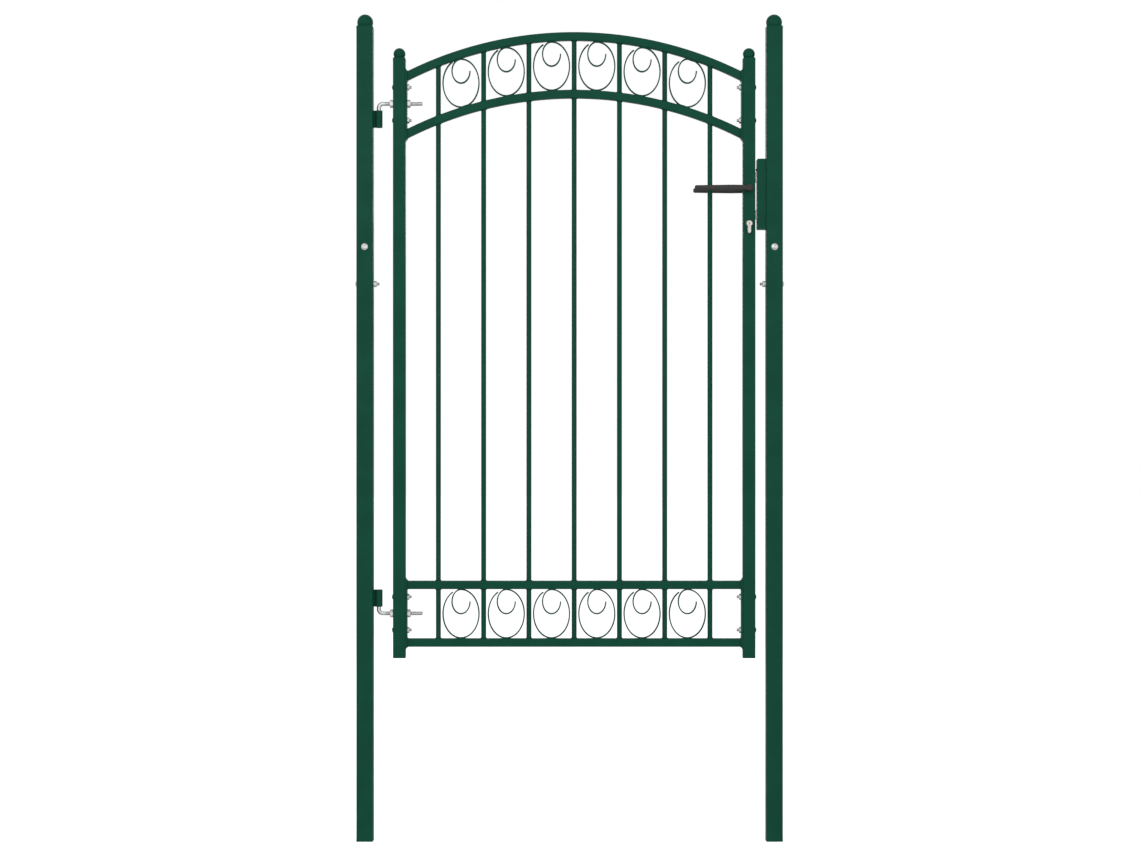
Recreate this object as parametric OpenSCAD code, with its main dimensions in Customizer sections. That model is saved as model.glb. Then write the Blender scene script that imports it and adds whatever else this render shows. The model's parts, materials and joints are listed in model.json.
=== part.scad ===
// Steel garden gate: a barred leaf with two arched rails and a row of scrolls at the top and
// bottom, hung between two ball-capped tube posts on J-bolt hinges, with a lever lock and strike.
// Units are millimetres. X runs from the hinge post to the latch post, Y runs away from the
// front, Z runs up. The origin is midway between the posts, on the level of their feet.

/* [Overall] */
// Width over the two posts
gate_w = 1030; // [880:1:1300]
// Height from the posts' feet to the top of their ball caps
gate_h = 2000; // [1900:1:2400]
// Height of the leaf's uprights above the posts' feet
leaf_lift = 442.5; // [380:0.5:520]
// Drop from the top of the post tubes to the top of the upright tubes
leaf_drop = 79; // [60:1:140]

/* [Tubes] */
// Side of the square post tube
post_side = 40; // [34:1:50]
// Wall of the post tube
post_wall = 2; // [1.5:0.1:3]
// Corner radius of the post tube
post_corner = 3; // [2.5:0.1:4]
// Side of the square upright tube
upright_side = 30; // [28:1:36]
// Wall of the upright tube
upright_wall = 2; // [1.5:0.1:2.4]
// Corner radius of the upright tube
upright_corner = 2.5; // [2.2:0.1:3.5]
// Side of the square rail tube
rail_side = 20; // [16:1:24]
// Wall of the rail tube
rail_wall = 1.5; // [1:0.1:2]
// Corner radius of the rail tube
rail_corner = 2; // [1.7:0.1:3]
// Diameter of the round bars
bar_d = 12; // [10:0.5:14]
// Wall of the round bars
bar_wall = 1.2; // [1:0.1:2]

/* [Leaf] */
// Gap between the hinge post and the hinge upright
hinge_gap = 48; // [44:0.5:60]
// Gap between the latch upright and the latch post
latch_gap = 26; // [22:0.5:32]
// Centre distance of the two rails of a pair
rail_pitch = 139.5; // [120:0.5:168]
// Rise of the arched rails from their ends to the middle
arch_rise = 94.6; // [60:0.1:114]
// Drop from the top of the upright tubes to the upper end of the top arch
arch_drop = 24.1; // [20:0.1:40]
// Height of the bottom rail above the foot of the uprights
rail_lift = 27; // [20:0.5:40]
// Clear space between an upright and the nearest bar
edge_space = 73.2; // [68:0.1:84]
// Thickness of the end plates
plate_t = 4; // [3:0.5:6]
// Depth of the end plates
plate_depth = 28; // [22:0.5:30]
// How far an end plate runs past the rails that it carries
plate_lap = 7.5; // [6:0.5:12]
// Height of the sloped end of an end plate
plate_slope = 6.5; // [3:0.5:7]

/* [Scrolls] */
// Thickness of the scroll strip
strip_t = 3; // [2:0.1:4]
// Depth of the scroll strip
strip_depth = 12; // [8:0.5:16]
// Clear space between a scroll and the bars on its two sides
scroll_space = 3.8; // [2:0.1:8]
// How far a scroll is flattened where it is welded to a rail
scroll_flat = 0.3; // [0.1:0.05:0.6]
// Place of the free outer end of the strip, counted from the right-hand side
scroll_end_angle = 111; // [100:1:130]

/* [Caps] */
// Radius of the ball on a post cap
post_ball_r = 19.3; // [16:0.1:20]
// Height of the straight rim of a cap
cap_rim = 3.8; // [3:0.1:6]
// Sloped edge of a post cap
post_cap_slope = 4.6; // [2:0.1:6]
// Height of a post ball's centre above the tube
post_ball_rise = 15.7; // [12:0.1:16]
// Radius of the ball on an upright cap
upright_ball_r = 14.5; // [12:0.1:15]
// Height of the straight rim of an upright cap
upright_cap_rim = 6.5; // [3:0.1:8]
// Sloped edge of an upright cap
upright_cap_slope = 3; // [2:0.1:5]
// Height of an upright ball's centre above the tube
upright_ball_rise = 18.1; // [14:0.1:19]
// Depth of the spigot that a cap puts down inside its tube
spigot_depth = 14; // [10:0.5:25]

/* [Post joint] */
// Height of the joint between the lower and upper tube of a post
joint_h = 1392; // [1300:1:1500]
// Distance from the joint to each of its two bolts
joint_bolt_offset = 44.5; // [30:0.5:60]
// Length of the sleeve inside a post joint
sleeve_length = 180; // [150:1:240]
// Wall of the sleeve
sleeve_wall = 2; // [1.5:0.1:2.5]
// Diameter of the post bolts
post_bolt_d = 8; // [6:0.5:10]
// Diameter of a post bolt's domed head
post_head_d = 16.5; // [14:0.5:20]
// Height of a post bolt's domed head
post_head_h = 4.5; // [3:0.1:6]
// Length of thread that stands out of a post's far face
post_thread_out = 14.5; // [10:0.5:20]

/* [Hinges] */
// Distance of the hinge axis from the hinge post's face
hinge_offset = 13; // [12:0.5:18]
// Outer diameter of the hinge barrels
barrel_d = 18; // [16:0.5:20]
// Length of the hinge barrels
barrel_length = 41; // [30:1:50]
// Depth of the lug between a barrel and its post
lug_depth = 8; // [5:0.5:12]
// Diameter of the J-bolts
hinge_bolt_d = 10; // [8:0.5:12]
// Bend radius of the J-bolts, to their centre line
hinge_bend_r = 10; // [8:0.5:12]
// Distance from a barrel's mouth to the straight leg of its J-bolt
leg_rise = 16.5; // [15:0.5:22]
// Distance from the inner face of the hinge upright to the end of a J-bolt
hinge_thread_out = 41; // [30:0.5:55]
// Distance of the upper J-bolt below the upper end of the top arch
upper_hinge_drop = 78.4; // [72:0.1:90]
// Distance of the lower J-bolt above the bottom rail's underside
lower_hinge_lift = 80.5; // [70:0.1:90]

/* [Leaf bolts] */
// Diameter of the leaf bolts
leaf_bolt_d = 8; // [6:0.5:8]
// Distance of a pair's two leaf bolts from the J-bolt level between them
leaf_bolt_offset = 40; // [32:0.5:46]
// Diameter of a leaf bolt's domed head
leaf_head_d = 14; // [12:0.5:16]
// Height of a leaf bolt's domed head
leaf_head_h = 3.2; // [2:0.1:4]
// Length of a leaf bolt past its end plate
leaf_thread_out = 10.5; // [8:0.5:16]

/* [Lock] */
// Height of the lever axis above the foot of the leaf
lever_h = 1135; // [1000:1:1180]
// Distance from the lever axis down to the cylinder axis
lock_centres = 85; // [85:1:92]
// Side of the square spindle
spindle_side = 8; // [7:0.5:10]
// Length of a lever from its axis to its free end
lever_length = 133; // [110:1:165]
// Height of a lever at its free end
lever_tip_h = 11; // [9:0.1:20]
// Height of a lever's grip where it swells, nearer its hub
lever_belly_h = 13.6; // [9:0.1:22]
// Diameter of a lever's hub
lever_hub_d = 17; // [16:0.5:24]
// Thickness of a lever's grip
lever_grip_t = 10; // [8:0.5:15]
// Distance from the middle of the leaf to the outer face of a lever's grip
lever_reach = 44; // [40:0.5:62]
// How far the latch bolt stands out of the leaf's edge
latch_out = 10.3; // [8:0.1:12]
// Travel of the latch bolt
latch_travel = 10.5; // [8:0.1:11]
// Height of the latch bolt
latch_bolt_h = 25; // [18:0.5:26]
// Thickness of the latch bolt
latch_bolt_t = 12; // [10:0.5:13]
// Distance of the latch bolt's middle above the lever axis
latch_rise = 28; // [28:0.5:36]
// How far the dead bolt stands out of the leaf's edge when it is shot
dead_bolt_out = 13.5; // [8:0.5:14]
// Travel of the dead bolt
dead_bolt_travel = 14; // [8:0.5:14]
// Height of the dead bolt
dead_bolt_h = 22; // [14:0.5:28]
// Thickness of the dead bolt
dead_bolt_t = 10; // [8:0.5:12]
// Length of the key cylinder
cylinder_length = 54; // [54:1:80]
// Reach of the key cylinder's cam
cam_r = 11; // [9:0.1:11.2]

/* [Strike] */
// Gap between the leaf's edge and the strike box
strike_gap = 4; // [3.5:0.1:6]
// Height of the strike box
strike_h = 170.5; // [150:0.5:220]
// Depth of the strike box
strike_depth = 32; // [26:0.5:36]
// Wall of the strike box
strike_wall = 2; // [1.5:0.1:3]
// Height of the strike box's foot below the lever axis
strike_drop = 98.5; // [90:0.5:115]

/* [Fits] */
// Clearance all round a bolt in its hole
bolt_clear = 0.3; // [0.1:0.05:0.6]
// Clearance all round a nut's bore
thread_clear = 0.05; // [0.02:0.01:0.1]
// Clearance all round a turning pin or hub
turn_clear = 0.08; // [0.03:0.01:0.1]
// Clearance all round a sliding bolt
slide_clear = 0.4; // [0.2:0.05:0.8]
// Clearance all round a cap's spigot or a post's sleeve
spigot_clear = 0.3; // [0.1:0.05:0.6]
// Clearance all round a bar where it passes through a rail
bar_clear = 0.2; // [0.1:0.05:0.4]
// Gap between a lever's hub and the upright's face
hub_gap = 0.5; // [0.3:0.1:2]
// Clearance all round the lock's face plate and the key cylinder in their cut-outs
cut_clear = 0.5; // [0.3:0.1:1]

/* [Hidden] */

$fn = 64;
// Facets of the long arcs, which need more than the small rounds
arc_fn = 256;
bar_count = 7;
scroll_count = bar_count - 1;

green = "#1a4b3a";
zinc = "#c9c9c9";
black = "#383735";
nickel = "#d8d6d2";

// Heights of the posts and of the leaf
post_top = gate_h - post_ball_rise - post_ball_r;
leaf_foot = leaf_lift;
leaf_top = post_top - leaf_drop;

// Places across the width
hinge_post_x = -gate_w / 2 + post_side / 2;
latch_post_x = gate_w / 2 - post_side / 2;
hinge_post_face = hinge_post_x + post_side / 2;
latch_post_face = latch_post_x - post_side / 2;
hinge_edge = hinge_post_face + hinge_gap;
latch_edge = latch_post_face - latch_gap;
hinge_upright_x = hinge_edge + upright_side / 2;
latch_upright_x = latch_edge - upright_side / 2;
plate_left = hinge_edge + upright_side;
plate_right = latch_edge - upright_side;
rail_left = plate_left + plate_t;
rail_right = plate_right - plate_t;
rail_length = rail_right - rail_left;
leaf_x = (hinge_edge + latch_edge) / 2;
axis_x = hinge_post_face + hinge_offset;

// Bars and scrolls share the width between the uprights
bar_r = bar_d / 2;
bar_pitch = (plate_right - plate_left - 2 * edge_space - bar_d) / (bar_count - 1);
function bar_x(i) = leaf_x + (i - (bar_count + 1) / 2) * bar_pitch;
function scroll_x(i) = leaf_x + (i - (scroll_count + 1) / 2) * bar_pitch;

// Arched rails: one arc, drawn twice a rail pitch apart
arch_half = rail_length / 2;
arch_outer_r = (arch_half * arch_half + arch_rise * arch_rise) / (2 * arch_rise);
arch_inner_r = arch_outer_r - rail_side;
arch_end_z = leaf_top - arch_drop;
top_arc_z = arch_end_z + arch_rise - arch_outer_r;
lower_arc_z = top_arc_z - rail_pitch;
function arc_height(r, x) = sqrt(r * r - (x - leaf_x) * (x - leaf_x));

// Straight rails
bottom_rail_z = leaf_foot + rail_lift;
middle_rail_z = bottom_rail_z + rail_pitch;
rail_gap = rail_pitch - rail_side;

// End plates
upper_plate_z0 = lower_arc_z + arc_height(arch_inner_r, rail_left) - plate_lap;
upper_plate_z1 = arch_end_z + plate_lap;
lower_plate_z0 = bottom_rail_z - plate_lap;
lower_plate_z1 = middle_rail_z + rail_side + plate_lap;

// Scrolls: an outer ellipse that turns into one of half its size at the top
scroll_a = (bar_pitch - bar_d) / 2 - scroll_space - strip_t / 2;
scroll_b = rail_gap / 2 + scroll_flat - strip_t / 2;
function top_scroll_z(x) = (top_arc_z + arc_height(arch_inner_r, x)
    + lower_arc_z + arc_height(arch_outer_r, x)) / 2;
bottom_scroll_z = bottom_rail_z + rail_side + rail_gap / 2;

// Hinge levels: the upper J-bolt's pin points down, the lower one's points up
upper_leg_z = arch_end_z - upper_hinge_drop;
lower_leg_z = bottom_rail_z + lower_hinge_lift;
hinge_bolt_r = hinge_bolt_d / 2;
bolt_end_x = plate_left + hinge_thread_out;
pin_end_gap = 2;
nut_hinge_across = 19.6;
nut_hinge_t = 8;

// Levels of the leaf bolts, above and below each J-bolt level
leaf_bolt_levels = [upper_leg_z + leaf_bolt_offset, upper_leg_z - leaf_bolt_offset,
    lower_leg_z + leaf_bolt_offset, lower_leg_z - leaf_bolt_offset];
nut_m8_across = 15;
nut_leaf_t = 5;
nut_post_t = 6.5;
washer_d = 16;
washer_t = 1.6;
post_bolt_r = post_bolt_d / 2;
leaf_bolt_r = leaf_bolt_d / 2;
front_bolt_z = joint_h + joint_bolt_offset;
side_bolt_z = joint_h - joint_bolt_offset;
socket_across = 5.8;
socket_depth = 2.5;

// Levels of the lock
lever_z = leaf_foot + lever_h;
cylinder_z = lever_z - lock_centres;
latch_z = lever_z + latch_rise;

// Profile of the key cylinder: a round with a narrower body under it
profile_r = 8.5;
profile_w = 10;
profile_drop = 24.5;
plug_r = 6.5;
cam_hub_r = 8;
cam_half_t = 4.6;
cam_w = 6;
cam_rest = 150;
cam_slot_half = 5;
cam_slot_clear = 0.5;
bridge_top = cylinder_z - cam_r - cam_slot_clear;
keyway_w = 2.4;
keyway_h = 8.5;
keyway_depth = 16;

// The lock's case stands inside the latch upright, behind the face plate
dead_bolt_z0 = cylinder_z + cam_r + slide_clear;
upright_half = upright_side / 2;
upright_bore = upright_half - upright_wall;
face_plate_w = 22;
face_plate_foot = 18.5;
face_plate_head = 26.5;
face_plate_z0 = cylinder_z - profile_drop - face_plate_foot;
face_plate_z1 = latch_z + latch_bolt_h / 2 + face_plate_head;
face_plate_back = latch_edge - upright_wall;
pad_t = 3;
pad_lap = 6;
pad_in = 12;
pad_w = 18;
case_wall = 1.2;
case_half_t = latch_bolt_t / 2 + slide_clear + case_wall + 1;
case_x0 = latch_upright_x - upright_bore + slide_clear;
case_x1 = face_plate_back;
case_z0 = face_plate_z0 + pad_in + 1;
case_z1 = face_plate_z1 - pad_in - 1;
screw_inset = 6;
screw_r = 2;
screw_head_r = 4;
screw_length = 9;

// The cylinder screw runs through the face plate into the body under the plug
cylinder_screw_r = 2.5;
cylinder_screw_head_r = 4.5;
cylinder_screw_z = cylinder_z - profile_drop + profile_w / 2 + 1;
cylinder_screw_length = upright_half + profile_w / 4;

// Furthest back that a bolt may slide in the case
bolt_back_x = case_x0 + case_wall + slide_clear;

// Follower: the arm leans as far one way at rest as it does the other way when it is turned
handle_angle = 40;
follower_r = 9;
follower_half_t = latch_bolt_t / 2;
follower_boss_r = 6;
arm_r = latch_rise - latch_bolt_h / 2 - 1;
arm_w = 4;
tail_t = 2;
tail_w = 8;
tail_lift = 2;

// Strike box
strike_x = latch_edge + strike_gap;
strike_w = latch_post_face - strike_x;
strike_z0 = lever_z - strike_drop;
mouth_clear = 1.5;
strike_edge = 2;
buffer_r = 2.6;
buffer_out = 2.5;
buffer_y = -11;
buffer_z = latch_z + latch_bolt_h / 2 + mouth_clear + buffer_r + 0.6;

// A square with rounded corners, about the middle
module rounded_square(side, r) {
    square([side, side - 2 * r], center = true);
    square([side - 2 * r, side], center = true);
    for (sx = [-1, 1], sy = [-1, 1])
        translate([sx * (side / 2 - r), sy * (side / 2 - r)])
            circle(r);
}

// The cross-section of a square tube
module tube_outline(side, wall, r) {
    difference() {
        rounded_square(side, r);
        rounded_square(side - 2 * wall, r - wall + 0.5);
    }
}

// A square tube that stands at x between two heights
module standing_tube(x, z0, z1, side, wall, r) {
    translate([x, 0, z0])
        linear_extrude(z1 - z0)
            tube_outline(side, wall, r);
}

// Turns something drawn along Z so that it runs along X, or back along X
module along_x(forward = true) {
    rotate([0, forward ? 90 : -90, 0])
        children();
}

// Turns something drawn along Z so that it runs along Y
module along_y() {
    rotate([-90, 0, 0])
        children();
}

// Stands a flat outline drawn in X and Y up in the XZ plane, with an equal depth each way
module upright_slab(depth) {
    rotate([90, 0, 0])
        linear_extrude(depth, center = true)
            children();
}

// A low domed head with its shank along +Z and the underside of its head at the origin
module domed_bolt(shank_r, length, head_r, head_h) {
    dome_r = (head_r * head_r + head_h * head_h) / (2 * head_h);
    rotate_extrude() {
        square([shank_r, length]);
        intersection() {
            translate([0, dome_r - head_h])
                circle(dome_r);
            translate([0, -head_h])
                square([head_r, head_h]);
        }
    }
}

// A hexagon nut along +Z
module hex_nut(across, thickness, bore_r) {
    difference() {
        cylinder(d = across, h = thickness, $fn = 6);
        translate([0, 0, -1])
            cylinder(r = bore_r, h = thickness + 2);
    }
}

// Holes through a post at its two joint bolts
module post_joint_holes(x) {
    translate([x, -post_side, front_bolt_z])
        along_y()
            cylinder(r = post_bolt_r + bolt_clear, h = 2 * post_side);
    translate([x - post_side, 0, side_bolt_z])
        along_x()
            cylinder(r = post_bolt_r + bolt_clear, h = 2 * post_side);
}

module post_lower(x) {
    color(green)
        difference() {
            standing_tube(x, 0, joint_h, post_side, post_wall, post_corner);
            post_joint_holes(x);
        }
}

module post_upper(x) {
    color(green)
        difference() {
            standing_tube(x, joint_h, post_top, post_side, post_wall, post_corner);
            post_joint_holes(x);
        }
}

module post_sleeves() {
    sleeve_side = post_side - 2 * post_wall - 2 * spigot_clear;
    color(zinc)
        for (x = [hinge_post_x, latch_post_x])
            difference() {
                standing_tube(x, joint_h - sleeve_length / 2, joint_h + sleeve_length / 2,
                    sleeve_side, sleeve_wall, post_corner);
                post_joint_holes(x);
            }
}

// A ball cap: a rim with a sloped edge, a ball on top and a spigot down inside the tube
module ball_cap(x, z, side, wall, rim, slope, ball_r, ball_rise) {
    half = side / 2;
    spigot_side = side - 2 * wall - 2 * spigot_clear;
    profile = [[-half, 0], [half, 0], [half, rim], [half - slope, rim + slope],
        [slope - half, rim + slope], [-half, rim]];
    color(green)
        translate([x, 0, z]) {
            intersection() {
                rotate([90, 0, 0])
                    linear_extrude(side, center = true)
                        polygon(profile);
                rotate([90, 0, 90])
                    linear_extrude(side, center = true)
                        polygon(profile);
            }
            translate([0, 0, ball_rise])
                sphere(ball_r);
            translate([0, 0, -spigot_depth])
                linear_extrude(spigot_depth + rim / 2)
                    rounded_square(spigot_side, 2);
        }
}

module post_cap(x) {
    ball_cap(x, post_top, post_side, post_wall, cap_rim, post_cap_slope, post_ball_r, post_ball_rise);
}

module upright_cap(x) {
    ball_cap(x, leaf_top, upright_side, upright_wall, upright_cap_rim, upright_cap_slope,
        upright_ball_r, upright_ball_rise);
}

// A socket-headed post bolt along +Z
module post_bolt() {
    difference() {
        domed_bolt(post_bolt_r, post_side + post_thread_out, post_head_d / 2, post_head_h);
        translate([0, 0, -post_head_h - 1])
            cylinder(d = socket_across, h = socket_depth + 1, $fn = 6);
    }
}

// The four post bolts' places: one front to back and one outwards-in on each post
module at_post_bolts() {
    for (x = [hinge_post_x, latch_post_x])
        translate([x, -post_side / 2, front_bolt_z])
            along_y()
                children();
    translate([-gate_w / 2, 0, side_bolt_z])
        along_x()
            children();
    translate([gate_w / 2, 0, side_bolt_z])
        along_x(false)
            children();
}

module post_bolts() {
    color(zinc)
        at_post_bolts()
            post_bolt();
}

// Flanged nuts: each has its washer forged on
module post_nuts() {
    color(zinc)
        at_post_bolts() {
            translate([0, 0, post_side])
                difference() {
                    cylinder(d = washer_d, h = washer_t);
                    translate([0, 0, -1])
                        cylinder(r = post_bolt_r + bolt_clear, h = washer_t + 2);
                }
            translate([0, 0, post_side + washer_t])
                hex_nut(nut_m8_across, nut_post_t, post_bolt_r + thread_clear);
        }
}

// Lowest point of a hinge barrel, from the level of its J-bolt's leg
function barrel_z0(upper) = upper ? upper_leg_z - leg_rise - barrel_length : lower_leg_z + leg_rise;

module hinge_barrel(upper) {
    color(green)
        translate([axis_x, 0, barrel_z0(upper)])
            difference() {
                cylinder(d = barrel_d, h = barrel_length);
                translate([0, 0, -1])
                    cylinder(r = hinge_bolt_r + turn_clear, h = barrel_length + 2);
            }
}

// The lugs stop at the barrels' outer faces
module hinge_lugs() {
    color(green)
        for (upper = [true, false])
            translate([hinge_post_face, 0, barrel_z0(upper)])
                difference() {
                    translate([0, -lug_depth / 2, 0])
                        cube([hinge_offset - barrel_d / 4, lug_depth, barrel_length]);
                    translate([hinge_offset, 0, -1])
                        cylinder(d = barrel_d, h = barrel_length + 2);
                }
}

// Room in the strike box for a bolt of this height and thickness
module strike_mouth(z0, height, thickness) {
    translate([strike_x - 1, -thickness / 2 - mouth_clear, z0 - mouth_clear])
        cube([strike_wall + 2, thickness + 2 * mouth_clear, height + 2 * mouth_clear]);
}

// The strike box is a folded pan, open towards the post that closes it
module strike_box() {
    profile = [[strike_w, 0], [strike_w, strike_h], [strike_edge, strike_h],
        [0, strike_h - strike_edge], [0, strike_edge], [strike_edge, 0]];
    color(green)
        difference() {
            translate([strike_x, 0, strike_z0])
                upright_slab(strike_depth)
                    polygon(profile);
            translate([strike_x + strike_wall, strike_wall - strike_depth / 2, strike_z0 + strike_wall])
                cube([strike_w, strike_depth - 2 * strike_wall, strike_h - 2 * strike_wall]);
            strike_mouth(latch_z - latch_bolt_h / 2, latch_bolt_h, latch_bolt_t);
            strike_mouth(dead_bolt_z0, dead_bolt_h, dead_bolt_t);
            translate([strike_x, buffer_y, buffer_z])
                along_x()
                    cylinder(r = buffer_r / 2 + thread_clear, h = strike_wall + 1);
        }
}

// A rubber button that the leaf's edge passes, pushed into the strike box's face
module strike_buffer() {
    color(black)
        translate([strike_x, buffer_y, buffer_z])
            along_x() {
                translate([0, 0, -buffer_out])
                    cylinder(r = buffer_r, h = buffer_out);
                cylinder(r = buffer_r / 2, h = strike_wall + 1.5);
            }
}

// Holes along X through an upright: the leaf bolts on either side
module leaf_bolt_holes(x) {
    for (z = leaf_bolt_levels)
        translate([x - upright_side, 0, z])
            along_x()
                cylinder(r = leaf_bolt_r + bolt_clear, h = 2 * upright_side);
}

// Holes along X through the hinge upright for the two J-bolts
module hinge_bolt_holes() {
    for (z = [upper_leg_z, lower_leg_z])
        translate([hinge_upright_x - upright_side, 0, z])
            along_x()
                cylinder(r = hinge_bolt_r + bolt_clear, h = 2 * upright_side);
}

module hinge_upright() {
    color(green)
        difference() {
            standing_tube(hinge_upright_x, leaf_foot, leaf_top, upright_side, upright_wall, upright_corner);
            leaf_bolt_holes(hinge_upright_x);
            hinge_bolt_holes();
        }
}

// Outline of the key cylinder, grown by a clearance, about its plug axis
module cylinder_profile(grow) {
    circle(profile_r + grow);
    translate([-profile_w / 2 - grow, profile_w / 2 - profile_drop])
        square([profile_w + 2 * grow, profile_drop - profile_w / 2]);
    translate([0, profile_w / 2 - profile_drop])
        circle(profile_w / 2 + grow);
}

// The key cylinder's outline carried right through the lock along Y
module cylinder_passage(depth, grow) {
    translate([latch_upright_x, 0, cylinder_z])
        upright_slab(depth)
            cylinder_profile(grow);
}

// A box about the middle depth, between two places across and two heights
module lock_block(x0, x1, z0, z1, depth) {
    translate([x0, -depth / 2, z0])
        cube([x1 - x0, depth, z1 - z0]);
}

// A face plate screw's hole along X, at one height
module face_screw_hole(z, r) {
    translate([latch_edge - screw_length - 1, 0, z])
        along_x()
            cylinder(r = r, h = screw_length + 2);
}

// Tapped pads welded inside the latch upright, behind the two ends of the face plate
module screw_pad(z0) {
    difference() {
        lock_block(face_plate_back - pad_t, face_plate_back, z0, z0 + pad_lap + pad_in, pad_w);
        face_screw_hole(face_plate_z0 + screw_inset, screw_r + thread_clear);
        face_screw_hole(face_plate_z1 - screw_inset, screw_r + thread_clear);
    }
}

module latch_upright() {
    color(green) {
        difference() {
            standing_tube(latch_upright_x, leaf_foot, leaf_top, upright_side, upright_wall, upright_corner);
            leaf_bolt_holes(latch_upright_x);
            lock_block(face_plate_back - 1, latch_edge + 1, face_plate_z0 - cut_clear,
                face_plate_z1 + cut_clear, face_plate_w + 2 * cut_clear);
            cylinder_passage(2 * upright_side, cut_clear);
            translate([latch_upright_x, -upright_side, lever_z])
                along_y()
                    cylinder(r = follower_boss_r + cut_clear, h = 2 * upright_side);
        }
        screw_pad(face_plate_z0 - pad_lap);
        screw_pad(face_plate_z1 - pad_in);
    }
}

// One arched rail, cut square to the end plates
module arch(centre_z) {
    sweep = 2 * asin(arch_half / arch_inner_r) + 4;
    intersection() {
        translate([leaf_x, 0, centre_z])
            rotate([90, 0, 0])
                rotate_extrude(angle = sweep, start = 90 - sweep / 2, $fn = arc_fn)
                    translate([arch_outer_r - rail_side / 2, 0])
                        tube_outline(rail_side, rail_wall, rail_corner);
        translate([rail_left, -rail_side, centre_z])
            cube([rail_length, 2 * rail_side, 2 * arch_outer_r]);
    }
}

// Holes where the bars pass through a rail near this height
module bar_holes(z0, z1) {
    for (i = [1:bar_count])
        translate([bar_x(i), 0, z0])
            cylinder(r = bar_r + bar_clear, h = z1 - z0);
}

module top_arch_rail() {
    color(green)
        arch(top_arc_z);
}

module lower_arch_rail() {
    color(green)
        difference() {
            arch(lower_arc_z);
            bar_holes(lower_arc_z + arch_inner_r / 2, lower_arc_z + arch_outer_r + 1);
        }
}

module straight_rail(z) {
    translate([rail_left, 0, z + rail_side / 2])
        rotate([90, 0, 90])
            linear_extrude(rail_length)
                tube_outline(rail_side, rail_wall, rail_corner);
}

module middle_rail() {
    color(green)
        difference() {
            straight_rail(middle_rail_z);
            bar_holes(middle_rail_z - 1, middle_rail_z + rail_side + 1);
        }
}

module bottom_rail() {
    color(green)
        straight_rail(bottom_rail_z);
}

// An end plate with sloped ends, drilled for its bolts; side is 1 where the rails lie towards +X
module end_plate(x, side, z0, z1) {
    profile = [[0, z0], [side * plate_t, z0 + plate_slope], [side * plate_t, z1 - plate_slope], [0, z1]];
    difference() {
        translate([x, 0, 0])
            upright_slab(plate_depth)
                polygon(profile);
        leaf_bolt_holes(x);
        if (side > 0)
            hinge_bolt_holes();
    }
}

module end_plates(x, side) {
    color(green) {
        end_plate(x, side, upper_plate_z0, upper_plate_z1);
        end_plate(x, side, lower_plate_z0, lower_plate_z1);
    }
}

// A bar stands on the bottom rail and is cut to the curve of the top arch's underside
module bar(i) {
    z0 = bottom_rail_z + rail_side;
    color(green)
        intersection() {
            translate([bar_x(i), 0, z0])
                linear_extrude(top_arc_z + arch_outer_r - z0)
                    difference() {
                        circle(bar_r);
                        circle(bar_r - bar_wall);
                    }
            translate([leaf_x, 0, top_arc_z])
                rotate([90, 0, 0])
                    linear_extrude(2 * bar_d, center = true) {
                        circle(arch_inner_r, $fn = arc_fn);
                        translate([-arch_half, -gate_h])
                            square([rail_length, gate_h]);
                    }
        }
}

// A band as thick as the strip along an ellipse of half-widths a and b
module ellipse_band(a, b) {
    difference() {
        scale([a + strip_t / 2, b + strip_t / 2])
            circle(1, $fn = arc_fn);
        scale([a - strip_t / 2, b - strip_t / 2])
            circle(1, $fn = arc_fn);
    }
}

// The scroll's flat outline: all of the outer band but its opening, and three quarters of the inner
module scroll_outline() {
    opening_x = scroll_a * cos(scroll_end_angle) / sin(scroll_end_angle);
    difference() {
        ellipse_band(scroll_a, scroll_b);
        polygon([[0, 0], [0, 2 * scroll_a], [2 * opening_x * scroll_b / scroll_a, 2 * scroll_b]]);
    }
    translate([0, scroll_b / 2])
        difference() {
            ellipse_band(scroll_a / 2, scroll_b / 2);
            square([scroll_a, scroll_b]);
        }
}

// A bottom scroll is flattened against the two straight rails
module bottom_scroll(i) {
    color(green)
        upright_slab(strip_depth)
            intersection() {
                translate([scroll_x(i), bottom_scroll_z])
                    scroll_outline();
                translate([rail_left, bottom_rail_z + rail_side])
                    square([rail_length, rail_gap]);
            }
}

// A top scroll is cut to the curves of the two arches
module top_scroll(i) {
    color(green)
        upright_slab(strip_depth)
            difference() {
                intersection() {
                    translate([scroll_x(i), top_scroll_z(scroll_x(i))])
                        scroll_outline();
                    translate([leaf_x, top_arc_z])
                        circle(arch_inner_r, $fn = arc_fn);
                }
                translate([leaf_x, lower_arc_z])
                    circle(arch_outer_r, $fn = arc_fn);
            }
}

// A J-bolt whose pin points down from the level of its leg
module j_bolt() {
    pin_length = leg_rise + barrel_length - pin_end_gap - hinge_bend_r;
    translate([hinge_bend_r, 0, 0])
        along_x()
            cylinder(r = hinge_bolt_r, h = bolt_end_x - axis_x - hinge_bend_r);
    translate([hinge_bend_r, 0, -hinge_bend_r])
        rotate([90, 0, 0])
            rotate_extrude(angle = 90, start = 90)
                translate([hinge_bend_r, 0])
                    circle(hinge_bolt_r);
    translate([0, 0, -hinge_bend_r - pin_length])
        cylinder(r = hinge_bolt_r, h = pin_length);
}

module upper_hinge_bolt() {
    color(zinc)
        translate([axis_x, 0, upper_leg_z])
            j_bolt();
}

module lower_hinge_bolt() {
    color(zinc)
        translate([axis_x, 0, lower_leg_z])
            mirror([0, 0, 1])
                j_bolt();
}

// A nut each side of the hinge upright and its end plate, on both J-bolts
module hinge_nuts() {
    color(zinc)
        for (z = [upper_leg_z, lower_leg_z], x = [hinge_edge - nut_hinge_t, rail_left])
            translate([x, 0, z])
                along_x()
                    hex_nut(nut_hinge_across, nut_hinge_t, hinge_bolt_r + thread_clear);
}

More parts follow.
